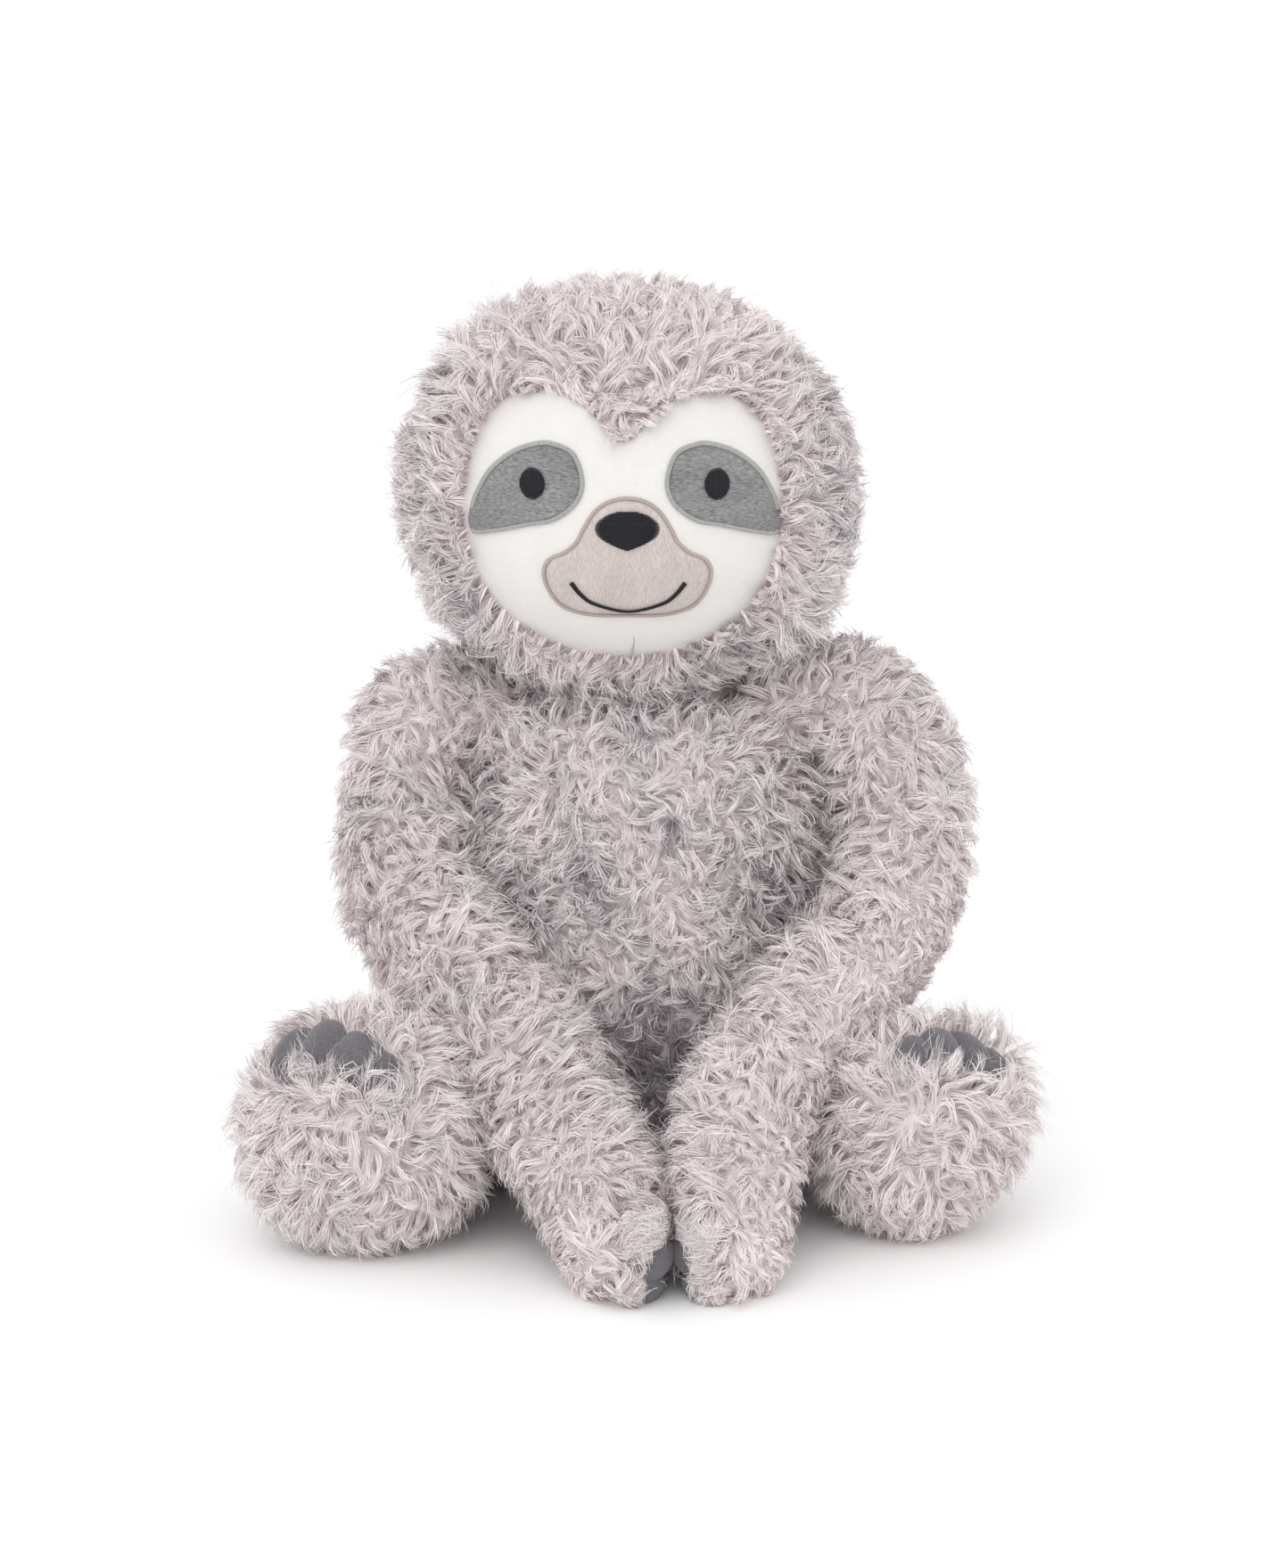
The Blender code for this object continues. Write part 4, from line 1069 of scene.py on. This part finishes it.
def satin_fill(outline, angle, pitch):
    """Parallel chords that fill an outline: their middles, direction and lengths."""
    d = np.array([math.cos(angle), math.sin(angle)])
    e = np.array([-d[1], d[0]])
    along, aside = outline @ d, outline @ e
    centres, widths = [], []
    for q in np.arange(aside.min() + pitch * 0.6, aside.max() - pitch * 0.2, pitch):
        hits = []
        for i in range(len(outline)):
            p, r = aside[i - 1], aside[i]
            if (p > q) != (r > q):
                hits.append(along[i - 1] + (q - p) / (r - p) * (along[i] - along[i - 1]))
        if len(hits) >= 2:
            start = min(hits) - RNG.uniform(0, 0.00015)
            end = max(hits) + RNG.uniform(0, 0.00015)
            centres.append(d * (start + end) / 2 + e * q)
            widths.append(end - start)
    return np.array(centres), np.tile(d, (len(centres), 1)), np.array(widths)


sheet_piece("face_plush", panel, RIM_LOW, 0.0, 0.0004, WHITE, ("face_panel",), rings=26)

# Eye patches and eyes
PATCH_HALF = (0.0468, 0.0223)
PATCH_OUTLINE = (
    (0.255, 0.49), (0.315, 0.865), (0.45, 1.00), (0.57, 0.995), (0.73, 0.865), (0.88, 0.60),
    (0.96, 0.29), (0.985, -0.045), (0.955, -0.30), (0.835, -0.26), (0.63, -0.145), (0.45, -0.055),
    (0.305, 0.18),
)
PATCH_BORDER = 0.0015
PATCH_PITCH = 0.00040
EYE_PLACE = (0.0277, 0.0100)
EYE_HALF = (0.0038, 0.0047)
EYE_PITCH = 0.00036


def sew_eye(side, sign):
    whole = closed_curve(np.array(PATCH_OUTLINE) * (sign, 1) * PATCH_HALF)
    # The outer end has no satin border and runs to the panel's edge
    out, up = (whole * (sign, 1) / PATCH_HALF).T
    bare = rise(out, 0.78, 0.16) ** 2 * fall(up, 0.40, 0.5)
    whole[:, 0] += sign * 0.0015 * bare
    patch = whole + (widen(whole, 0.0008 - PATCH_BORDER) - whole) * (1 - bare)[:, None]
    sheet_piece("eye_patch_plush_" + side, patch, CLOTH_LOW, CLOTH_TOP, 0.0001, GREY,
                ("eye_patch_" + side,), rings=14)
    centres, across, _ = even_path(widen(whole, -PATCH_BORDER * 0.5), PATCH_PITCH)
    out, up = (centres * (sign, 1) / PATCH_HALF).T
    sewn = (out <= 0.94) | (up >= 0.05) | (up <= -0.245)
    stitches("eye_patch_satin_" + side, centres[sewn], across[sewn], PATCH_BORDER * 1.05, 0.0013,
             PATCH_PITCH, CLOTH_LOW, SATIN, "satin", ("eye_patch_stitching_" + side,))
    turns = around(48)
    eye = np.array(EYE_PLACE) * (sign, 1) + np.stack([np.cos(turns), np.sin(turns)], 1) * EYE_HALF
    stitches("eye_satin_" + side, *satin_fill(eye, math.radians(90), EYE_PITCH), 0.0008, EYE_PITCH,
             THREAD_LOW, BLACK, "black", ("eye_" + side,), stations=9)


for side, sign in SIDES:
    sew_eye(side, sign)

# The muzzle, nose and mouth sit a little to the toy's left of the panel's middle
MUZZLE_SHIFT = np.array([0.0008, 0.0])
MUZZLE_HALF = (0.0259, 0.0310)
MUZZLE_OUTLINE = (
    (0.00, 0.22), (0.22, 0.185), (0.395, 0.08), (0.53, -0.095), (0.61, -0.225), (0.75, -0.33),
    (0.925, -0.405), (1.00, -0.55), (0.94, -0.74), (0.77, -0.915), (0.45, -0.995), (0.00, -1.00),
)
MUZZLE_BORDER = 0.0012
MUZZLE_PITCH = NOSE_PITCH = 0.00038
NOSE_HALF = (0.0096, 0.0094)
NOSE_OUTLINE = (
    (0.00, 0.275), (0.30, 0.25), (0.60, 0.155), (0.84, 0.00), (0.97, -0.16), (1.00, -0.32), (0.93, -0.52),
    (0.75, -0.68), (0.40, -0.86), (0.10, -0.97), (0.00, -1.00),
)
MOUTH_HALF = (0.0172, 0.0289)
MOUTH_LINE = (
    (-1.00, -0.685), (-0.83, -0.815), (-0.58, -0.92), (0.00, -1.00), (0.58, -0.92), (0.83, -0.815),
    (1.00, -0.685),
)
MOUTH_PITCH = 0.00036

whole = closed_curve(mirror_outline(MUZZLE_OUTLINE, MUZZLE_HALF)) + MUZZLE_SHIFT
sheet_piece("muzzle_plush", widen(whole, 0.0006 - MUZZLE_BORDER), CLOTH_LOW, CLOTH_TOP, 0.0002, TAUPE,
            ("muzzle",), rings=16)
centres, across, _ = even_path(widen(whole, -MUZZLE_BORDER * 0.5), MUZZLE_PITCH)
stitches("muzzle_satin", centres, across, MUZZLE_BORDER * 1.05, 0.0011, MUZZLE_PITCH, CLOTH_LOW, BROWN,
         "brown", ("muzzle_stitching",))
nose = closed_curve(mirror_outline(NOSE_OUTLINE, NOSE_HALF)) + MUZZLE_SHIFT
stitches("nose_satin", *satin_fill(nose, 0.0, NOSE_PITCH), 0.0010, NOSE_PITCH, THREAD_LOW, BLACK, "black",
         ("nose",), stations=13)
line = smooth_rows(np.array(MOUTH_LINE) * MOUTH_HALF, 8) + 1.3 * MUZZLE_SHIFT
centres, across, share = even_path(line, MOUTH_PITCH, closed=False)
thick = 0.00098 + 0.00065 * np.abs(2 * share - 1) ** 1.5
stitches("mouth_satin", centres, across, thick, 0.0008, MOUTH_PITCH, THREAD_LOW, BLACK, "black", ("mouth",),
         stations=5)

# The short dart seam at the chin
DART_LINE = ((0.0026, -0.0376), (0.0028, -0.0398), (0.0024, -0.0422), (0.0022, -0.0446))
DART_PITCH = 0.0005
centres, across, _ = even_path(smooth_rows(DART_LINE, 6), DART_PITCH, closed=False)
stitches("chin_dart_seam", centres, across, 0.00042, 0.0003, DART_PITCH, 0.0001, SATIN, "thread", (),
         stations=5)

# The ring of closing stitches at the neck keeps its solid, in sewing thread
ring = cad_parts["neck_seam_thread"]
ring.data.materials.clear()
ring.data.materials.append(CORD)

# Floor, light and camera
FLOOR_HALF = 60
LIGHT_ELEVATION = 40
LIGHT_TURN = -14
CAMERA_ELEVATION = math.radians(12)
CAMERA_AIM = Vector((0.0037, 0.0, 0.1265))
CAMERA_DISTANCE = 1.25

corners = [(x * FLOOR_HALF, y * FLOOR_HALF, 0) for x, y in ((-1, -1), (1, -1), (1, 1), (-1, 1))]
floor_look, _, floor_shader = new_look("pale_floor")
floor_shader.inputs["Base Color"].default_value = (0.97, 0.97, 0.97, 1)
floor_shader.inputs["Roughness"].default_value = 0.9
floor = mesh_piece("floor", corners, [(0, 1, 2, 3)], floor_look)

world = bpy.data.worlds.new("soft_studio")
bpy.context.scene.world = world
world.use_nodes = True
background = world.node_tree.nodes["Background"].inputs
background["Color"].default_value = (1.0, 1.0, 1.0, 1)
background["Strength"].default_value = 1.0

sun = bpy.data.lights.new("front_light", "SUN")
sun.energy = 0.85
sun.angle = math.radians(50)
front_light = link("front_light", sun)
front_light.rotation_euler = (math.radians(90 - LIGHT_ELEVATION), 0, math.radians(LIGHT_TURN))

camera_data = bpy.data.cameras.new("camera")
camera_data.sensor_fit = "VERTICAL"
camera_data.sensor_height = 36.0
camera_data.lens = 90.0
camera_data.clip_start = 0.05
camera = link("camera", camera_data)
camera_ahead = Vector((0, math.cos(CAMERA_ELEVATION), -math.sin(CAMERA_ELEVATION)))
camera.location = CAMERA_AIM - camera_ahead * CAMERA_DISTANCE
camera.rotation_euler = (math.radians(90) - CAMERA_ELEVATION, 0, 0)
bpy.context.scene.camera = camera
bpy.context.scene.view_settings.view_transform = "Standard"
bpy.context.scene.cycles.diffuse_bounces = 12
